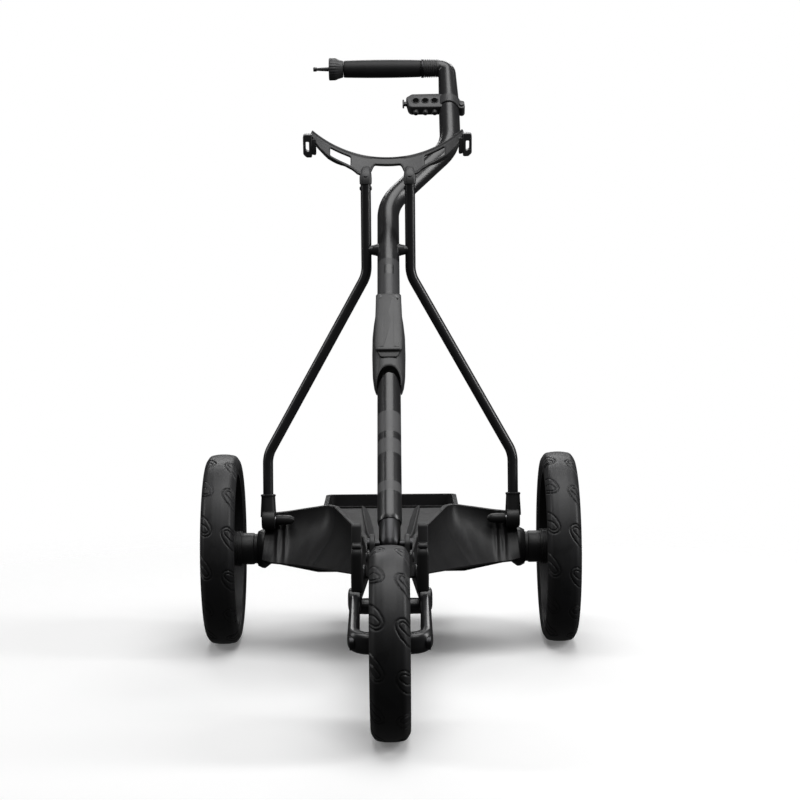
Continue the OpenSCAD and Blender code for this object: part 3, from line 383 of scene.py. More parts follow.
def carried(path, section, up, close=True, capStart=True, capEnd=True, scale=None):
    # a section (sideways, upwards) carried along a path; up is kept as upright as the path allows
    p = np.asarray(path, float)
    t = np.gradient(p, axis=0)
    t /= np.linalg.norm(t, axis=1)[:, None]
    side = np.cross(t, np.broadcast_to(np.asarray(up, float), t.shape))
    side /= np.linalg.norm(side, axis=1)[:, None]
    lift = np.cross(side, t)
    s = np.asarray(section, float)
    k = np.ones(len(p)) if scale is None else np.asarray(scale, float)
    pts = p[:, None] + k[:, None, None] * (s[None, :, :1] * side[:, None] + s[None, :, 1:2] * lift[:, None])
    return grid(pts, closeCols=close, capStart=capStart, capEnd=capEnd)


def circle(radius, count=40):
    t = np.linspace(0, 2 * math.pi, count, endpoint=False)
    return radius * np.stack([np.cos(t), np.sin(t)], -1)


def softRect(width, height, power=4.0, count=48):
    # superellipse: a rectangle whose corners are rounded by the power
    t = np.linspace(0, 2 * math.pi, count, endpoint=False)
    c, s = np.cos(t), np.sin(t)
    return np.stack([np.sign(c) * np.abs(c) ** (2 / power) * width / 2, np.sign(s) * np.abs(s) ** (2 / power) * height / 2], -1)


def turned(profile, centre, axis, count=64):
    # a profile of (distance along the axis, radius) spun round the axis
    axis = np.asarray(axis, float) / np.linalg.norm(axis)
    first = np.cross(axis, [0, 0, 1.0]) if abs(axis[2]) < 0.9 else np.array([1.0, 0, 0])
    first /= np.linalg.norm(first)
    second = np.cross(axis, first)
    t = np.linspace(0, 2 * math.pi, count, endpoint=False)
    ring = np.cos(t)[:, None] * first + np.sin(t)[:, None] * second
    p = np.asarray(profile, float)
    pts = np.asarray(centre, float) + p[:, None, :1] * axis + p[:, None, 1:2] * ring[None]
    return grid(pts, closeCols=True)


def cut(corners, radius, n=5):
    # polygon with rounded corners: each corner becomes an arc tangent to its two sides
    p = np.asarray(corners, float)
    m = len(p)
    r = radius if hasattr(radius, "__len__") else [radius] * m
    out = []
    for k in range(m):
        a, b = p[k - 1] - p[k], p[(k + 1) % m] - p[k]
        a, b = a / np.linalg.norm(a), b / np.linalg.norm(b)
        if r[k] <= 0:
            out.append(p[k])
            continue
        half = math.acos(np.clip(a @ b, -1, 1)) / 2
        c = p[k] + (a + b) / np.linalg.norm(a + b) * r[k] / math.sin(half)
        u = p[k] + a * r[k] / math.tan(half) - c
        v = p[k] + b * r[k] / math.tan(half) - c
        turn = math.pi - 2 * half
        t = np.linspace(0, 1, n + 1)[:, None]
        out += list(c + (np.sin((1 - t) * turn) * u + np.sin(t * turn) * v) / math.sin(turn))
    return np.array(out)


def inset(outline, distance):
    # moves each point of a closed outline inwards along its own normal
    p = np.asarray(outline, float)
    t = np.roll(p, -1, 0) - np.roll(p, 1, 0)
    n = np.stack([-t[:, 1], t[:, 0]], -1)
    n /= np.maximum(np.linalg.norm(n, axis=1), 1e-9)[:, None]
    area = 0.5 * np.sum(p[:, 0] * np.roll(p[:, 1], -1) - np.roll(p[:, 0], -1) * p[:, 1])
    return p + n * distance * (1 if area > 0 else -1)


def block(outline, low, high, edge, toSpace):
    # an outline raised from low to high with rounded edges; toSpace turns (a, b, height) into points
    turns = np.linspace(0, math.pi / 2, 4)
    rings = [(edge * (1 - math.sin(t)), low + edge * (1 - math.cos(t))) for t in turns]
    rings += [(edge * (1 - math.cos(t)), high - edge * (1 - math.sin(t))) for t in turns]
    pts = np.array([np.column_stack([inset(outline, d), np.full(len(outline), h)]) for d, h in rings])
    flat, faces = grid(pts, closeCols=True, capStart=True, capEnd=True)
    return toSpace(flat), faces


def sideways(x0):
    # outline drawn as (Y, Z) relative to the rear axle's line on the ground, raised along X from x0
    return lambda p: np.column_stack([x0 + p[:, 2], rearAxle[1] + p[:, 0], p[:, 1]])


def mirrored(part):
    points, faces = part
    return points * [-1, 1, 1], faces


# ---- tyres ----

tyreShape = {"width": 52, "depth": 26, "shoulder": 12, "grooveDepth": 1.5, "grooveWidth": 1.0,
             "outerHook": [(31, -14), (22, -9), (14, -1), (8.5, 9), (7, 15), (8.5, 20), (13, 23.5), (19, 24), (25, 21), (31, 17)],
             "innerHook": [(31, 1), (22, 4), (16, 9), (12, 14), (12.5, 18), (17, 19.5), (23, 17), (31, 12)]}


def distanceTo(a, b, line):
    # least distance from every point (a, b) to the segments of a polyline
    p = np.stack([a, b], -1)[..., None, :]
    s, e = line[:-1], line[1:]
    run = e - s
    t = np.clip(((p - s) * run).sum(-1) / (run * run).sum(-1), 0, 1)
    return np.sqrt((((s + t[..., None] * run) - p) ** 2).sum(-1)).min(-1)


def tyre(name, centre, radius, hooks, body, replaces):
    # a crowned section turned round the axle; two rows of hook-shaped grooves are pressed into it
    s = tyreShape
    w, r = s["width"] / 2, radius
    half = cut([(0, r), (w * 0.3, r - 0.15), (w * 0.75, r - 2.2), (w, r - 12), (w, r - 21), (w - 3.5, r - s["depth"]), (0, r - s["depth"] - 3)],
               [0, 30, 9, 12, 6, 1.5, 0], 8)[:-1]
    walk = np.concatenate([[0], np.cumsum(np.linalg.norm(np.diff(half, axis=0), axis=1))])
    at = np.concatenate([np.linspace(0, 37, 39), np.linspace(38.5, walk[-1], 7)])
    x, rad = np.interp(at, walk, half[:, 0]), np.interp(at, walk, half[:, 1])
    x = np.concatenate([-x[::-1], x[1:]])
    rad = np.concatenate([rad[::-1], rad[1:]])
    across = np.concatenate([-at[::-1], at[1:]])
    rows = hooks * 64
    turn = np.arange(rows) / rows * 2 * math.pi
    pitch = 2 * math.pi * radius / hooks
    outer, inner = (roundPath([(p[0], p[1], 0) for p in s[k]], [4] * (len(s[k]) - 2), 1.5)[:, :2] for k in ("outerHook", "innerHook"))
    press = np.zeros((rows, len(x)))
    for side, shift in ((1, 0.0), (-1, 0.5)):
        # turn grows downwards at the front, so the hooks on the right have their round end up
        local = (turn * radius / pitch + shift) % 1 * pitch - pitch / 2
        a, b = np.broadcast_to(across * side, press.shape), np.broadcast_to((-local * side)[:, None], press.shape)
        gap = np.minimum(distanceTo(a, b, outer), distanceTo(a, b, inner) * 1.25)
        press += np.exp(-(gap / s["grooveWidth"]) ** 2)
    slope = np.gradient(np.stack([x, rad], -1), axis=0)
    outward = np.stack([-slope[:, 1], slope[:, 0]], -1)
    outward /= np.linalg.norm(outward, axis=1)[:, None]
    deep = -s["grooveDepth"] * np.clip(press, 0, 1) * (rad > radius - 22)
    xs, rs = x + deep * outward[:, 0], rad + deep * outward[:, 1]
    pts = np.array(centre) + np.stack([xs, np.cos(turn)[:, None] * rs, np.sin(turn)[:, None] * rs], -1)
    points, faces = grid(pts, closeRows=True, closeCols=True)
    return makePiece(name, [(points, faces)], "tyre", body, replaces, 50)


rearRadius = float(boxOf("rear_tyre_left")[1][2] - rearAxle[2])
frontRadius = float(boxOf("front_tyre")[1][2] - frontAxle[2])
tyre("rearTreadLeft", middleOf("rear_tyre_left"), rearRadius, 14, "rear_wheel_left", ["rear_tyre_left"])
tyre("rearTreadRight", middleOf("rear_tyre_right"), rearRadius, 14, "rear_wheel_right", ["rear_tyre_right"])
tyre("frontTread", frontAxle, frontRadius, 12, "front_wheel", ["front_tyre"])
print("tyres made")


# ---- tubes ----

gripAt = jointAt["speed_dial_turn"]
handleLength = float((gripAt - crossbarAt) @ alongSpine)
tubeShape = {"spine": 17, "stay": 8, "stayFoot": 190.5, "bend": 90, "elbow": 15, "handleOffset": 101.5, "bendStart": 103, "bendLength": 134,
             "sleeve": 15, "sleeveStart": 539}


def handleTube():
    # the handle's path in the plane of the spine: straight, an S-bend, straight, and a tight elbow into the grip
    t = tubeShape
    x = t["handleOffset"]
    line = roundPath([(0, -193, 0), (0, t["bendStart"], 0), (x, t["bendStart"] + t["bendLength"], 0), (x, handleLength - 95, 0),
                      (x - 1.5, handleLength, 0), (84, handleLength, 0)], [t["bend"], t["bend"], 200, t["elbow"]], 2.5)
    reach = np.concatenate([[0], np.cumsum(np.linalg.norm(np.diff(line, axis=0), axis=1))])
    left = reach[-1] - reach
    thin = np.interp(left, [0, 22, 90, 120], [14.3, 14.6, 16.9, 17])
    points, faces = carried(line, circle(1.0, 56), (0, 0, 1), scale=thin)
    makePiece("handlePipe", [(points, faces)], "spine", "handle", ["handle_tube"], 60, onSpine)


def lowerTube():
    t = tubeShape
    straight = np.stack([np.zeros(90), np.linspace(-215, -t["sleeveStart"] + 1.2, 90), np.zeros(90)], -1)
    ends = np.interp(np.arange(90), [0, 1, 88, 89], [16.2, 17, 17, 16])
    makePiece("spinePipe", [carried(straight, circle(1.0, 56), (0, 0, 1), scale=ends)], "spine", "lower_spine",
              ["lower_spine_tube"], 50, onSpine)
    down = np.array([t["sleeveStart"] - 6, t["sleeveStart"], t["sleeveStart"] + 1, spineLength - 1, spineLength + 8, spineLength + 12, spineLength + 13.8])
    size = np.array([14.9, 14.9, t["sleeve"], t["sleeve"], 13.4, 10.0, 5.0])
    path = np.stack([np.zeros(len(down)), -down, np.zeros(len(down))], -1)
    makePiece("spineEndSocket", [carried(path, circle(1.0, 56), (0, 0, 1), scale=size)], "sleeve", "lower_spine",
              ["spine_end_sleeve"], 40, onSpine)


def stays():
    # side stays: bent tubes from the knuckles up to the cradle, with two small rivet heads each
    foot = kneePivot + [0, 6, 18]
    for side, name in ((-1, "Left"), (1, "Right")):
        x = side * tubeShape["stayFoot"]
        line = roundPath([(x, foot[1], foot[2]), (x, crossbarAt[1] - 3, 305), (side * 34, crossbarAt[1], 584),
                          (side * 34, crossbarAt[1], 735.5)], [48, 48], 2.5)
        parts = [carried(line, circle(tubeShape["stay"], 40), (0, 1, 0))]
        spot = np.array([side * 34, crossbarAt[1], 717])
        for way in (-1, 1):
            parts.append(turned([(way * 7.2, 0.01), (way * 7.2, 3.4), (way * 8.6, 3.2), (way * 9.4, 2.2), (way * 9.6, 0.01)], spot, (1, 0, 0), 20))
        makePiece("stayPipe" + name, parts, "paint", "stay_frame", ["stay_" + name.lower()], 50)


def crossbar():
    x = np.array([-34, -25, -24, -23, -20.5, -18.5, 18.5, 20.5, 23, 24, 25, 34])
    r = np.array([7.5, 7.5, 7.6, 8.2, 8.4, 9.4, 9.4, 8.4, 8.2, 7.6, 7.5, 7.5])
    makePiece("handleCrossbar", [turned(np.column_stack([x, r]), crossbarAt, (1, 0, 0), 48)], "paint", "stay_frame", ["crossbar"], 40)


handleTube()
lowerTube()
stays()
crossbar()
print("tubes made")


# ---- grip, dial and tee holder ----

gripShape = {"radius": 15, "from": -74, "to": 61.5, "collarTo": 86, "ribs": 8, "dial": 18.6, "dialEnd": -98.5}


def ends(profile):
    # closes a turned profile down to its axis at both ends
    p = np.asarray(profile, float)
    return np.concatenate([[[p[0, 0], 0.01]], p, [[p[-1, 0], 0.01]]])


def grip():
    g = gripShape
    at = gripAt * [0, 1, 1]
    x = np.linspace(g["from"] + 2, g["to"] - 6, 60)
    swell = g["radius"] - 0.9 * ((x - x.mean()) / (x[-1] - x[0]) * 2) ** 2 + 0.2
    body = np.concatenate([[[g["from"], 12], [g["from"] + 0.4, 13.6]], np.column_stack([x, swell]), [[g["to"] - 5.2, 13.4], [g["to"] - 5, 12]]])
    makePiece("gripSkin", [turned(ends(body), at, (1, 0, 0), 72)], "grip", "handle", ["handle_grip"], 40)
    ring = [[g["to"] - 5, 12], [g["to"] - 4.8, 15.2], [g["to"] - 4.2, 15.7], [g["to"] - 1, 15.7], [g["to"] - 0.4, 15.2], [g["to"] - 0.2, 12]]
    makePiece("gripRing", [turned(ends(ring), at, (1, 0, 0), 72)], "sleeve", "handle", [], 40)
    x = np.linspace(g["to"], g["collarTo"], 8 * g["ribs"] + 1)
    wave = (x - g["to"]) / (g["collarTo"] - g["to"])
    r = 14.9 - 0.6 * wave + 0.75 * np.clip(np.cos(wave * 2 * math.pi * g["ribs"]) * 2.2, -1, 1)
    makePiece("gripBellows", [turned(ends(np.column_stack([x, r])), at, (1, 0, 0), 72)], "latch", "handle", ["grip_collar"], 40)


def speedDial():
    # knurled knob: widest at its free end, tapering to the grip; the knurl fades out along the taper
    x = np.array([-74.6, -75.2, -78, -83, -86.5, -88, -97.2, -98.2, -98.6, -98.6, -96.2, -96, -96])
    r = np.array([13.2, 14.2, 14.9, 16.4, 17.9, 18.3, 18.5, 18.1, 17.2, 14.6, 13.9, 13.0, 4.6])
    count = 144
    t = np.linspace(0, 2 * math.pi, count, endpoint=False)
    bite = np.interp(-x, [76, 84, 88, 97, 98.5, 99], [0, 0.12, 0.3, 0.3, 0.1, 0])[:, None] * np.clip(np.cos(t * 24)[None] * 1.6, -1, 1)
    rr = r[:, None] + bite
    pts = gripAt * [0, 1, 1] + np.stack([np.broadcast_to(x[:, None], rr.shape), np.cos(t) * rr, np.sin(t) * rr], -1)
    points, faces = grid(pts, closeCols=True, capStart=True, capEnd=True)
    makePiece("dialKnob", [(points, faces)], "latch", "dial", ["speed_dial"], 40)
    stub = [[-90, 3.9], [-98, 3.9], [-99, 3.6], [-119, 2.5], [-119.4, 3.3], [-120.2, 3.7], [-124, 3.7], [-125, 3.1]]
    makePiece("dialStub", [turned(ends(stub), gripAt * [0, 1, 1], (1, 0, 0), 32)], "latch", "button", ["power_button"], 40)


def teeHolder():
    # clamped shelf with three sockets; its plate lies across the tube's front
    h = {"u": handleLength - 96, "holes": (46.5, 62, 77.5), "left": 30, "half": 18, "front": 19.5}
    x1 = tubeShape["handleOffset"]
    parts, socketShadeDiscs = [], []

    def flat(p):
        return np.column_stack([p[:, 0], h["u"] + p[:, 1], p[:, 2]])

    outline = cut([(h["left"] + 4, -12), (38, -17), (84, -17), (x1 - 4, -15), (x1 - 4, 15), (84, 17.5), (40, 16.5), (h["left"], 8)], [8, 6, 4, 2, 2, 4, 6, 6], 5)
    parts.append(block(outline, -6, 12, 2.2, flat))
    # bosses with deep sockets, opening to the front; a thin near-black disc in each socket's recess is painted shade
    # standing for the dark depth of the hole
    for x in h["holes"]:
        rim = [[11, 0.01], [11, 6.9], [12.8, 6.8], [13.2, 6.3], [13.1, 5.7], [12.3, 5.3], [12.3, 0.01]]
        parts.append(turned(rim, (x, h["u"] - 1, 0), (0, 0, 1), 32))
        shadeDiscProfile = [[12.2, 0.01], [12.2, 5.2], [12.5, 5.2], [12.5, 0.01]]
        socketShadeDiscs.append(turned(shadeDiscProfile, (x, h["u"] - 1, 0), (0, 0, 1), 32))
        tail = [[0, 0.01], [0, 4.4], [-6, 4.2], [-7, 3.4], [-7, 0.01]]
        pts, faces = turned(tail, (x, h["u"] - 17, 3), (0, 1, 0), 24)
        parts.append((pts, faces))
    # two little loops on the top edge, and the tee-shaped end
    for x in (55, 62.5):
        parts.append(turned([[0, 0.01], [0, 2.2], [3.2, 2.2], [3.6, 1.6], [3.6, 0.01]], (x, h["u"] + 15.5, 3), (0, 1, 0), 16))
    bar = cut([(24.6, -7), (27.4, -7), (27.4, 7), (24.6, 7)], 1.1, 3)
    parts.append(block(bar, 0, 8, 0.8, flat))
    parts.append(block(cut([(26, -2.5), (34, -3.5), (34, 3.5), (26, 2.5)], 0.6, 2), 1, 7, 0.5, flat))
    # band round the tube: taller where it meets the plate, sweeping down to the lug
    t = np.linspace(0, 2 * math.pi, 72, endpoint=False)
    loop = [(17.1, -9), (18.6, -9.6), (19.4, -8.6), (19.4, 8.6), (18.6, 9.6), (17.1, 9)]
    pts = np.array([[(x1 + rr * math.cos(a), h["u"] + (hh + (-7 * max(0, math.cos(a)) ** 1.5 if hh < 0 else -3.5 * max(0, math.cos(a)))), rr * math.sin(a)) for rr, hh in loop] for a in t])
    parts.append(grid(pts, closeRows=True, closeCols=True))
    lug = cut([(x1 + 16, -16), (x1 + 23, -18), (x1 + 26, -12), (x1 + 25, 1), (x1 + 16, 4)], [1, 4, 4, 3, 1], 4)
    parts.append(block(lug, -9, 9, 1.4, flat))
    for way in (-1, 1):
        parts.append(turned([[way * 8.6, 0.01], [way * 8.6, 3.8], [way * 11, 3.6], [way * 11.6, 2.8], [way * 11.6, 0.01]], (x1 + 20.5, h["u"] - 9, 0), (0, 0, 1), 24))
    # the near-black discs are painted shade inside the sockets
    makePiece("teeSocketShade", socketShadeDiscs, "shade", "handle", [], 35, onSpine)
    makePiece("teeShelf", parts, "latch", "handle", ["tee_holder", "tee_holder_bolt"], 35, onSpine)


grip()
speedDial()
teeHolder()
print("grip made")


# ---- latch ----

latchShape = {"top": 114, "mouth": 261, "cheeks": 290, "inner": 17.9,
              "halfWidths": [(112, 18.6), (116, 19.4), (148, 20.2), (165, 22.2), (190, 24.2), (225, 24.6), (262, 23.9), (276, 22.4), (292, 18.4)],
              "heights": [(112, 19.6), (116, 20.6), (130, 21.5), (160, 23.2), (225, 23.4), (247, 22.6), (262, 21.2), (292, 19.2)]}


def latchBody():
    # saddle-shaped cover: outer arch over an inner arch round the tube, open at the back; its lower end is an arched mouth
    s = latchShape
    stations = np.concatenate([np.linspace(0, 0.03, 4), np.linspace(0.05, 0.97, 60), np.linspace(0.98, 1, 4)])
    side = np.linspace(-1, 1, 61)
    bend = np.sign(side) * np.abs(side) ** 0.9 * math.radians(128)
    # outer arch as a superellipse of half width and height, from back left over the front to back right
    power = 2.7
    co, si = np.cos(bend), np.sin(bend)
    ox = np.sign(si) * np.abs(si) ** (2 / power)
    oz = np.sign(co) * np.abs(co) ** (2 / power)
    ox, oz = np.where(np.abs(bend) > math.pi / 2, np.sign(si) * (0.88 + 0.12 * np.abs(si) ** 1.2), ox), np.where(np.abs(bend) > math.pi / 2, -np.abs(co) * 1.15, oz)
    inner = np.linspace(1, -1, 41) * math.radians(118)
    ix, iz = np.sin(inner), np.cos(inner)
    endAt = s["mouth"] + (s["cheeks"] - s["mouth"]) * np.abs(np.concatenate([ox * 24.5, ix * s["inner"]])) ** 2.4 / 24.5 ** 2.4 * 1.06
    endAt = np.minimum(endAt, s["cheeks"])
    down = s["top"] + stations[:, None] * (endAt[None] - s["top"])
    halfW = np.interp(down, *np.array(s["halfWidths"]).T)
    tall = np.interp(down, *np.array(s["heights"]).T)
    roundEnd = np.interp(stations, [0, 0.006, 0.015, 0.03, 0.98, 0.99, 1], [1.3, 0.45, 0.1, 0, 0, 0.25, 1.1])[:, None]
    n = len(ox)
    x = np.concatenate([(halfW[:, :n] - roundEnd) * ox, np.broadcast_to(s["inner"] * ix, (len(stations), len(ix)))], 1)
    z = np.concatenate([(tall[:, :n] - roundEnd) * oz, np.broadcast_to(s["inner"] * iz, (len(stations), len(iz)))], 1)
    pts = np.stack([x, -down, z], -1)
    makePiece("latchCover", [grid(pts, closeCols=True, capStart=True, capEnd=True)], "latch", "handle", ["latch_shroud"], 38, onSpine)


def latchLever():
    # plain shield-shaped lever lying on the cover, crowned across, with a thumb ledge under its lower end; the ledge is
    # partly a real step and partly painted shadow, drawn to the outline of the shade under the lever's lip in the
    # darkest plastic
    outline = cut([(-18.9, -117), (18.9, -117), (20.6, -224), (19.2, -236), (-19.2, -236), (-20.6, -224)], [3.5, 3.5, 30, 5, 5, 30], 7)
    crown = lambda p: np.column_stack([p[:, 0], p[:, 1], p[:, 2] - 0.006 * p[:, 0] ** 2 + np.interp(-p[:, 1], [117, 150, 215, 236], [0, 2.2, 4.2, 4.4])])
    rings = []
    for d, h in ((0.6, 18.5), (0, 19.2), (0, 23.4), (0.35, 24.3), (1.1, 24.9), (2.2, 25.15), (6, 25.2), (12, 25.25)):
        rings.append(np.column_stack([inset(outline, d), np.full(len(outline), h)]))
    pts, faces = grid(np.array(rings), closeCols=True, capStart=True, capEnd=True)
    # outline of the thumb ledge, which follows the shadow under the lever's lip: partly a real ledge, partly painted
    # shadow
    ledgeAndShadowOutline = cut([(-17.5, -226), (17.5, -226), (15.5, -239), (12, -247), (-12, -247), (-15.5, -239)], [2, 2, 6, 4, 4, 6], 5)
    lp, lf = block(ledgeAndShadowOutline, 17, 24.2, 1.2, lambda p: p)
    makePiece("latchPlate", [(crown(pts), faces)], "lever", "lever", ["latch_lever"], 34, onSpine)
    # the ledge's darkest-plastic finish paints the shadow below the lever's lower edge
    makePiece("latchLedgeAndShadow", [(lp, lf)], "housing", "handle", [], 34, onSpine)


latchBody()
latchLever()
print("latch made")


# ---- cradle ----

cradleShape = {"half": 118, "rise": 43, "topZ": 763, "back": 27, "lean": 48, "thick": 4.6,
               "widths": [(0, 15.5), (19, 15.5), (23, 18), (26.5, 33), (30, 39.5), (36, 42), (47, 42), (52, 36.5), (64, 33), (92, 31), (106, 26), (114, 18), (118, 12)]}


def cradlePoint(x, v, lift=0.0):
    # saddle arc across, and down and forwards along the plate by v; lift is along the plate's front normal
    c = cradleShape
    radius = (c["half"] ** 2 + c["rise"] ** 2) / (2 * c["rise"])
    lean = math.radians(c["lean"])
    bow = radius - np.sqrt(radius ** 2 - x ** 2)
    tilt = np.arcsin(np.clip(x / radius, -1, 1))
    normal = np.stack([-np.sin(tilt), np.cos(tilt) * -math.sin(lean) * 0.999, np.cos(tilt) * math.cos(lean)], -1)
    base = np.stack([x, np.full_like(x, crossbarAt[1] + c["back"]) + 0 * bow, c["topZ"] + bow], -1)
    return base + v[..., None] * np.array([0, -math.cos(lean), -math.sin(lean)]) + np.asarray(lift)[..., None] * normal


def cradle():
    # plate over the bag's side of the stays, with raised lips, two strap slots and a notch between its feet
    c = cradleShape
    xs = np.array([0, 8, 15, 19, 21.5, 24, 26.5, 29, 33, 38, 43, 47, 50, 54, 57.5, 60, 64, 70, 76, 82, 86, 88.5, 92, 97, 102, 107, 111, 114.5, 117, 118])
    x = np.concatenate([-xs[:0:-1], xs])
    width = np.interp(np.abs(x), *np.array(c["widths"]).T)
    share = np.array([0, 0.045, 0.09, 0.14, 0.27, 0.42, 0.56, 0.68, 0.8, 0.88, 0.93, 0.965, 1.0])
    lift = np.array([1.6, 1.7, 0.7, 0, 0, 0, 0, 0, 0, 0.1, 0.9, 1.7, 1.6])
    points = cradlePoint(x[:, None] + 0 * share, width[:, None] * share, lift[None] + 0 * x[:, None])
    flat, faces = grid(points)
    cols = len(share)
    keep = []
    for f in faces:
        i, j = divmod(f[0], cols)
        middle = abs(x[i] + x[i + 1]) / 2
        if 58 < middle < 88 and 4 <= j < 8:
            continue
        keep.append(f)
    plate = makePiece("cradlePlate", [(flat, keep)], "cradle", "stay_frame", ["upper_cradle", "cradle_rivets"], 40)
    thick = plate.modifiers.new("wall", "SOLIDIFY")
    thick.thickness = c["thick"] * mm
    thick.offset = 0
    smooth = plate.modifiers.new("smooth", "SUBSURF")
    smooth.levels = smooth.render_levels = 2
    # sockets that take the stays, and the rear fins behind the tips
    parts = []
    for side in (-1, 1):
        stayAt = np.array([side * 34, crossbarAt[1], 0])
        path = stayAt + np.stack([np.zeros(8), np.array([0, 0, 0, 1.5, 4, 9, 14, 18]), np.array([723, 723.6, 727, 732, 736, 740.5, 745, 749])], -1)
        size = np.array([0.86, 0.97, 1.0, 1.0, 0.97, 0.9, 0.8, 0.55])
        parts.append(carried(path, softRect(19, 19, 3.4), (0, 1, 0), scale=size))
        u = np.linspace(0, 1, 40)
        xf = side * (58 + 55 * u)
        wf = np.interp(np.abs(xf), *np.array(c["widths"]).T)
        reach = 6 * np.sin(np.clip(u, 0, 1) * math.pi) ** 0.7
        edge = cradlePoint(xf, wf * 0.86)
        away = np.array([0, 0.42, -0.9])
        fin = np.stack([edge + [0, 2, 0], edge + away * reach[:, None], edge + away * reach[:, None] + [0, 4, 1.5], edge + [0, 9, 2]], 1)
        parts.append(grid(fin, closeCols=True, capStart=True, capEnd=True))
    makePiece("cradleSockets", parts, "cradle", "stay_frame", [], 34)


def strapLoops():
    parts = []
    lean = math.radians(14)
    for side in (-1, 1):
        outer = cut([(-0.5, -18), (8, -18), (13.2, -13), (13.2, 18), (-0.5, 18)], [2, 4, 5, 4.5, 2], 6)
        hole = cut([(4, -8.5), (6.5, -8.5), (9.2, -6.5), (9.2, 6.5), (4, 6.5)], [1.5, 1.2, 1.5, 1.6, 1.5], 6)
        loops = [(outer, 0.8, -6), (outer, 0, -5), (outer, 0, 5), (outer, 0.8, 6), (hole, -0.8, 6), (hole, 0, 5), (hole, 0, -5), (hole, -0.8, -6)]
        rings = np.array([np.column_stack([inset(o, d), np.full(len(o), h)]) for o, d, h in loops])
        pts, faces = grid(rings, closeRows=True, closeCols=True)

        def toFrame(p, side=side):
            y = p[:, 2] * math.cos(lean) - p[:, 1] * math.sin(lean)
            z = p[:, 2] * math.sin(lean) + p[:, 1] * math.cos(lean)
            return np.column_stack([side * (117.2 + p[:, 0]), crossbarAt[1] + 18 + y, 784 + z])
        parts.append((toFrame(pts), faces))
        root = cut([(-7, -15), (2, -13), (2, 9), (-7, 12)], [2, 1, 1, 2], 3)
        rp, rf = block(root, -5, 5, 1, lambda p: p)
        parts.append((toFrame(rp), rf))
    makePiece("strapRings", parts, "latch", "stay_frame", ["strap_loops"], 34)


cradle()
strapLoops()
print("cradle made")


# ---- housing ----

housingShape = {
    # half outlines from the nose's middle round to the back's middle: (across, behind the rear axle, height)
    "ridge": [(0, -474, 209), (24, -474, 211), (30, -456, 216), (33, -430, 218.5), (38, -350, 221), (54, -250, 222), (88, -72, 226), (98, -56, 226), (125, -50, 221),
              (160, -49, 215.5), (184, -49, 213), (194, -42, 210), (194, 14, 201), (186, 24, 200), (100, 24, 206), (0, 24, 208)],
    "foot": [(0, -470, 190), (27, -470, 187), (33, -452, 184), (37, -430, 180), (46, -350, 169), (62, -270, 158), (88, -190, 148), (122, -132, 143),
             (158, -104, 143), (186, -94, 144), (200, -84, 146), (200, 20, 146), (192, 28, 145), (100, 28, 141), (0, 28, 140)],
    "hollow": 15, "rows": 22}


def spread(points, count, radii):
    # a rounded 3-D half outline resampled to an even number of points
    line = roundPath(points, radii, 2)
    walk = np.concatenate([[0], np.cumsum(np.linalg.norm(np.diff(line, axis=0), axis=1))])
    at = np.linspace(0, walk[-1], count)
    return np.stack([np.interp(at, walk, line[:, k]) for k in range(3)], -1)


def pieces(points, marks, counts, radii):
    # resamples a half outline so that each marked corner falls on the same row in every outline
    out = []
    for k in range(len(marks) - 1):
        part = points[marks[k]:marks[k + 1] + 1]
        out.append(spread(part, counts[k], radii[k])[:-1])
    out.append(np.array([points[marks[-1]]], float))
    return np.concatenate(out)


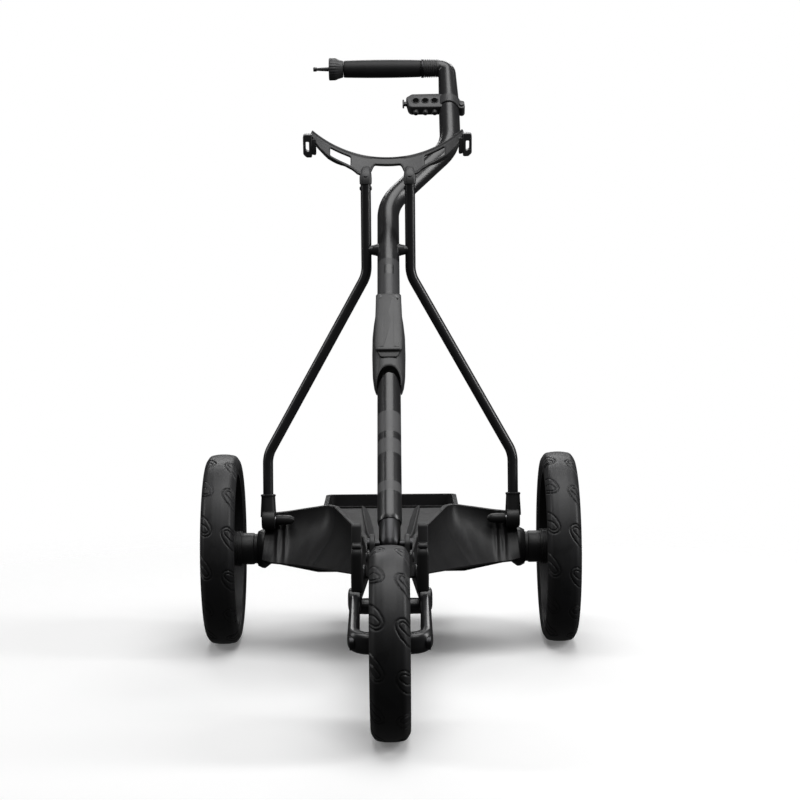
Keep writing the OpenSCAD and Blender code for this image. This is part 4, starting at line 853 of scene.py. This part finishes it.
def housing():
    s = housingShape
    ridge, foot = s["ridge"], s["foot"]
    counts = (16, 70, 60, 50, 40, 50)
    top = pieces(ridge, (0, 2, 6, 10, 11, 12, 15), counts, ([5], [120, 200, 120], [14, 60, 60], [], [], [9, 200]))
    low = pieces(foot, (0, 2, 7, 9, 10, 11, 14), counts, ([8], [160, 160, 160, 160], [80], [], [], [8, 200]))
    n = len(top)
    # how deep the flank is hollowed: most along the sweep from nose to wing
    fade = np.interp(np.arange(n), [0, 12, 40, 90, 130, 172, 190, n], [0, 0, 0.55, 1, 1, 0.35, 0, 0])
    run = np.gradient(top, axis=0)
    inward = np.stack([-run[:, 1], run[:, 0], np.zeros(n)], -1)
    inward /= np.linalg.norm(inward, axis=1)[:, None]
    share = np.linspace(0, 1, s["rows"])
    eased = share ** 0.9
    wall = low[None] * (1 - eased[:, None, None]) + top[None] * eased[:, None, None]
    wall = wall + inward[None] * (fade[None, :, None] * s["hollow"] * np.sin(share * math.pi)[:, None, None] ** 0.9)
    # pleats in front of the towers
    pleat = (np.exp(-((np.abs(wall[..., 0]) - 176) / 3.4) ** 2) + np.exp(-((np.abs(wall[..., 0]) - 164) / 3.2) ** 2)) * (wall[..., 1] < -40)
    wall[..., 1] -= pleat * 4.0 * np.sin(share * math.pi)[:, None] ** 0.6
    rings = [low + [0, 0, -3] + inward * 4, low + inward * 1.2 + [0, 0, -1.4]] + list(wall)
    # rounded rim, flat ridge, then the recessed deck
    rings += [top + inward * 1.2 + [0, 0, 0.8], top + inward * 3 + [0, 0, 1.1], top + inward * 6.5 + [0, 0, 0.9], top + inward * 8.2 + [0, 0, -0.6],
              top + inward * 9.4 + [0, 0, -4.2], top + inward * 10.6 + [0, 0, -5.6]]
    deck = top + inward * 13
    deck[:, 0] = np.maximum(deck[:, 0], 0)
    deck[:, 2] = top[:, 2] - 6.2
    rings.append(deck)
    half = np.array([placeHousing(r) for r in rings])
    half[:, 0, 0] = 0
    half[:, -1, 0] = 0
    full = np.concatenate([half, (half * [-1, 1, 1])[:, -2:0:-1]], 1)
    points, faces = grid(full, closeCols=True, capStart=True)
    # the deck: rungs across from the right half to the left one
    m = full.shape[1]
    ladder = np.linspace(0, 1, 9)
    inside = full[-1]
    right, left = inside[1:n - 1], (inside[1:n - 1] * [-1, 1, 1])
    span = right[:, None] * (1 - ladder[:, None]) + left[:, None] * ladder[:, None]
    deckPart = grid(span)
    tri = [(inside[[0, 1, m - 1]], [[0, 1, 2]]), (inside[[n - 1, n - 2, n]], [[0, 1, 2]])]
    makePiece("housingShell", [(points, faces), deckPart] + tri, "housing", "chassis", ["chassis_shell"], 36)


def placeHousing(points):
    return points + [0, rearAxle[1], 0]


def trough():
    # slanting rails either side of the spine, the ears for its pivot and the two bosses below
    parts = []
    y = np.array([-58, -100, -200, -300, -380, -430, -446])
    outerX = np.interp(y, [-446, -58], [27.5, 45])
    innerX = np.interp(y, [-446, -58], [20.5, 24])
    topZ = np.interp(y, [-446, -400, -300, -58], [238, 232, 226, 225.5])
    dip = np.interp(y, [-446, -58], [10, 15])
    floor = np.full(len(y), 204.0)
    shape = np.stack([np.stack([innerX, y, topZ - dip], -1), np.stack([outerX - 1.5, y, topZ], -1), np.stack([outerX, y, topZ - 0.7], -1),
                      np.stack([outerX + 0.8, y, floor], -1), np.stack([innerX, y, floor], -1)], 1)
    ear = cut([(-480, 214), (-447, 207), (-438, 232), (-447, 240), (-463, 245), (-477, 236)], [6, 2, 8, 8, 13, 12], 7)
    parts.append(grid(placeHousing(shape), closeCols=True, capStart=True, capEnd=True))
    parts.append(block(ear, 0, 7, 1.2, sideways(20.3)))
    boss = [[26, 7.2], [31.5, 7.0], [33, 6.4], [33.6, 5.2], [33.2, 3.2], [31.8, 2.8]]
    parts.append(turned(ends(boss), (0, rearAxle[1] - 440, 208), (1, 0, 0), 28))
    makePiece("spineRails", parts + [mirrored(p) for p in parts], "deck", "chassis", [], 36)


def towers():
    # knuckles at the stays' feet: a collar on the stay, a flared boss round the pin
    for side, name in ((-1, "left"), (1, "right")):
        x = side * tubeShape["stayFoot"]
        foot = kneePivot + [x, 6, 18]
        top = np.array([x, crossbarAt[1] - 3, 305])
        lean = (top - foot) / np.linalg.norm(top - foot)
        path = foot + np.array([-14, -8, 0, 8, 14, 17.5, 18.4, 20.6, 21.4])[:, None] * lean
        size = np.array([1.12, 1.1, 1.06, 1.02, 0.99, 0.98, 1.05, 1.05, 0.9])
        parts = [carried(path, softRect(22, 22, 2.6), (0, 1, 0), scale=size)]
        drum = [[179.6, 12.8], [180.4, 14.6], [182.6, 15.1], [196, 15.1], [199, 14.4], [200.4, 12.2], [200.7, 6.6], [199.4, 6.0]]
        parts.append(turned(ends([[side * a, b] for a, b in drum]), kneePivot * [0, 1, 1], (1, 0, 0), 48))
        makePiece("stayKnuckle" + name.title(), parts, "housing", "stay_frame", ["stay_knuckle_" + name], 36)


def hingeBosses():
    # bosses at the wing's ends that carry the pins of the knuckles
    for side, name in ((-1, "Left"), (1, "Right")):
        shape = [[150, 3], [155, 6.6], [160, 7.4], [176.6, 7.6], [178.4, 7.0], [178.6, 6.2]]
        makePiece("hingeBoss" + name, [turned(ends([[side * a, b] for a, b in shape]), kneePivot * [0, 1, 1], (1, 0, 0), 48)], "housing",
                  "chassis", [], 36)


def axles():
    # axle tubes with a tapered collar at the housing, a recess, the barrel and a ribbed cap at the wheel
    for side, name in ((-1, "left"), (1, "right")):
        centre = rearAxle * [0, 1, 1]
        barrel = [[190, 24], [199, 30.5], [200.5, 31], [205, 30.4], [211, 27.2], [212, 23.6], [216, 23.4], [217, 24.6], [218, 25], [235.5, 25], [236, 22]]
        makePiece("axleBarrel" + name.title(), [turned(ends([[side * a, b] for a, b in barrel]), centre, (1, 0, 0), 72)], "housing", "chassis",
                  ["axle_tube_" + name], 34)
        x = np.linspace(236, 248.5, 61)
        wave = 27.2 + 1.1 * np.clip(np.cos((x - 236) / 12.5 * 2 * math.pi * 5) * 2, -1, 1)
        cap = [[235.6, 24]] + np.column_stack([x, wave]).tolist() + [[249, 30], [249.6, 31], [251.6, 31], [252, 30.2], [252, 7.8], [250.5, 7.6]]
        makePiece("axleCap" + name.title(), [turned(ends([[side * a, b] for a, b in cap]), centre, (1, 0, 0), 72)], "hub", "chassis",
                  ["bearing_flange_" + name], 34)


housing()
trough()
towers()
hingeBosses()
axles()
print("housing made")


# ---- fork ----

forkShape = {"legX": 47.5, "legWide": 13.5, "legTall": 27, "corner": 17}


def fork():
    f = forkShape
    y0, z0 = frontAxle[1], frontAxle[2]
    knee = np.array([spinePivot[1] - 33, z0 + 34])
    for side, name in ((-1, "left"), (1, "right")):
        x = side * f["legX"]
        line = roundPath([(side * 36, knee[0] + 72, z0 + 57), (x, knee[0] + 2, knee[1]), (x, y0 - 1, z0 + 1), (side * 26.6, y0, z0)], [40, f["corner"]], 1.5)
        walk = np.concatenate([[0], np.cumsum(np.linalg.norm(np.diff(line, axis=0), axis=1))])
        left = walk[-1] - walk
        tall = np.interp(left, [0, 18, 40, 70], [14.2, 13.9, 13.2, 13.2])
        wide = np.interp(left, [0, 14, 34, 60], [12.6, 11.5, 7.4, 6.75])
        section = softRect(2, 2, 2.9, 56)
        t = np.gradient(line, axis=0)
        t /= np.linalg.norm(t, axis=1)[:, None]
        across = np.cross(t, [0, 0, 1.0])
        across /= np.linalg.norm(across, axis=1)[:, None]
        lift = np.cross(across, t)
        pts = line[:, None] + wide[:, None, None] * section[None, :, :1] * across[:, None] + tall[:, None, None] * section[None, :, 1:] * lift[:, None]
        parts = [grid(pts, closeCols=True, capStart=True, capEnd=True)]
        # swelling where the leg bends
        bulge = [[-9.4, 8], [-8.6, 13], [-6.8, 15.6], [0, 16.4], [6.8, 15.6], [8.6, 13], [9.4, 8]]
        parts.append(turned(ends([[side * a, b] for a, b in bulge]), (x, knee[0] - 2, knee[1]), (1, 0, 0), 48))
        makePiece("forkLeg" + name.title(), parts, "paint", "chassis", ["fork_leg_" + name], 40)
    makePiece("forkBrace", [turned(ends([[-44, 10.8], [-30, 11], [0, 11.6], [30, 11], [44, 10.8]]), middleOf("fork_crossbar"), (1, 0, 0), 48)], "paint",
              "chassis", ["fork_crossbar"], 40)


def bagStops():
    k = np.array([spinePivot[1] - 33 - rearAxle[1], frontAxle[2] + 34])
    for side, name in ((-1, "left"), (1, "right")):
        body = cut([(k[0] - 13, k[1] + 10), (k[0] + 18, k[1] + 10), (k[0] + 22, k[1] + 34), (k[0] + 13, k[1] + 74), (k[0] - 15, k[1] + 74)], [4, 6, 10, 11, 13], 8)
        bp, bf = block(body, 0, 16, 3.4, lambda p: p)
        rim = cut([(k[0] - 12, k[1] + 71), (k[0] + 11, k[1] + 71), (k[0] + 11, k[1] + 77.5), (k[0] - 12, k[1] + 77.5)], [1, 1, 4.5, 5.5], 5)
        rp, rf = block(rim, 1.6, 14.4, 1.6, lambda p: p)
        head = cut([(k[0] + 2, k[1] + 60), (k[0] + 18, k[1] + 60), (k[0] + 18, k[1] + 102), (k[0] + 3, k[1] + 102)], [0.5, 0.5, 5, 5], 6)
        hp, hf = block(head, 1.6, 15.2, 1.4, lambda p: p)
        place = lambda p, side=side: np.column_stack([side * (36.4 + p[:, 2]), rearAxle[1] + p[:, 0], p[:, 1]])
        makePiece("bagStop" + name.title(), [(place(bp), bf), (place(rp), rf)], "housing", "chassis", ["bag_stop_" + name], 34)
        extra = ["bag_stop_pads"] if side < 0 else []
        makePiece("bagStopPad" + name.title(), [(place(hp), hf)], "pad", "chassis", extra, 34)


fork()
bagStops()
print("fork made")


# ---- floor and light ----

def studioFloor():
    # one flat pale sheet that fades out into the white backdrop all round
    radius = np.concatenate([[0.001], np.linspace(0.1, 4, 40)])
    t = np.linspace(0, 2 * math.pi, 96, endpoint=False)
    pts = np.stack([radius[:, None] * np.cos(t), radius[:, None] * np.sin(t), np.zeros((len(radius), 96))], -1)
    points, faces = grid(pts, closeCols=True)
    mesh = bpy.data.meshes.new("studioFloor")
    mesh.from_pydata(points.tolist(), [], [f[::-1] for f in faces])
    mesh.shade_smooth()
    floor = bpy.data.objects.new("studioFloor", mesh)
    bpy.context.scene.collection.objects.link(floor)
    f = Finish("studioPaper", (0.9, 0.9, 0.9), 0.9, specular=0.0)
    reach = f.node("ShaderNodeVectorMath", {"operation": "LENGTH"}, {0: f.place()}, "Value")
    f.set("Alpha", f.node("ShaderNodeMapRange", {"interpolation_type": "SMOOTHSTEP"},
                          {"Value": reach, "From Min": floorFade[0], "From Max": floorFade[1], "To Min": 1.0, "To Max": 0.0}))
    f.set("Emission Color", f.mix(f.noise(900, 2) * 0.1, (1, 1, 1, 1), (0.98, 0.98, 0.985, 1)))
    f.set("Emission Strength", floorGlow)
    mesh.materials.append(f.material)
    floor.visible_glossy = False
    floor.visible_diffuse = False


floorFade = (0.75, 1.5)
floorGlow = 0.13
studioLights = [
    # name, place, aim, size, power, all in metres and watts
    ("overhead", (0.2, -0.2, 3.2), (0, 0, 0.4), (2.4, 2.2), 58),
    ("rightPanel", (2.6, -0.4, 1.7), (0, 0, 0.5), (0.7, 2.2), 40),
    ("leftPanel", (-2.6, 0.1, 1.9), (0, 0, 0.6), (0.5, 2.2), 20),
    ("frontHigh", (0.3, -2.4, 3.0), (0, 0, 0.5), (1.6, 0.8), 13),
    ("backHigh", (0, 2.8, 2.4), (0, 0, 0.5), (2.6, 0.8), 34),
]


def lightStudio():
    for name, place, aim, size, power in studioLights:
        data = bpy.data.lights.new(name, "AREA")
        data.shape = "RECTANGLE"
        data.size, data.size_y = size
        data.energy = power
        lamp = bpy.data.objects.new(name, data)
        bpy.context.scene.collection.objects.link(lamp)
        back = np.array(place, float) - np.array(aim, float)
        back /= np.linalg.norm(back)
        side = np.cross([0, 0, 1.0], back)
        side = side / np.linalg.norm(side) if np.linalg.norm(side) > 1e-6 else np.array([1.0, 0, 0])
        m = np.eye(4)
        m[:3, 0], m[:3, 1], m[:3, 2], m[:3, 3] = side, np.cross(back, side), back, place
        lamp.matrix_world = Matrix(m.tolist())
    world = bpy.data.worlds.new("studio")
    world.use_nodes = True
    tree = world.node_tree
    tree.nodes.clear()
    ray = tree.nodes.new("ShaderNodeLightPath")
    seen, lit, mix, out = (tree.nodes.new(k) for k in ("ShaderNodeBackground", "ShaderNodeBackground", "ShaderNodeMixShader", "ShaderNodeOutputWorld"))
    seen.inputs["Color"].default_value = (1, 1, 1, 1)
    lit.inputs["Color"].default_value = (1, 1, 1, 1)
    lit.inputs["Strength"].default_value = 0.045
    tree.links.new(ray.outputs["Is Camera Ray"], mix.inputs[0])
    tree.links.new(lit.outputs[0], mix.inputs[1])
    tree.links.new(seen.outputs[0], mix.inputs[2])
    tree.links.new(mix.outputs[0], out.inputs[0])
    scene = bpy.context.scene
    scene.world = world
    scene.view_settings.view_transform = "Standard"
    scene.view_settings.exposure = 0.0


studioFloor()
lightStudio()
print("studio lit")
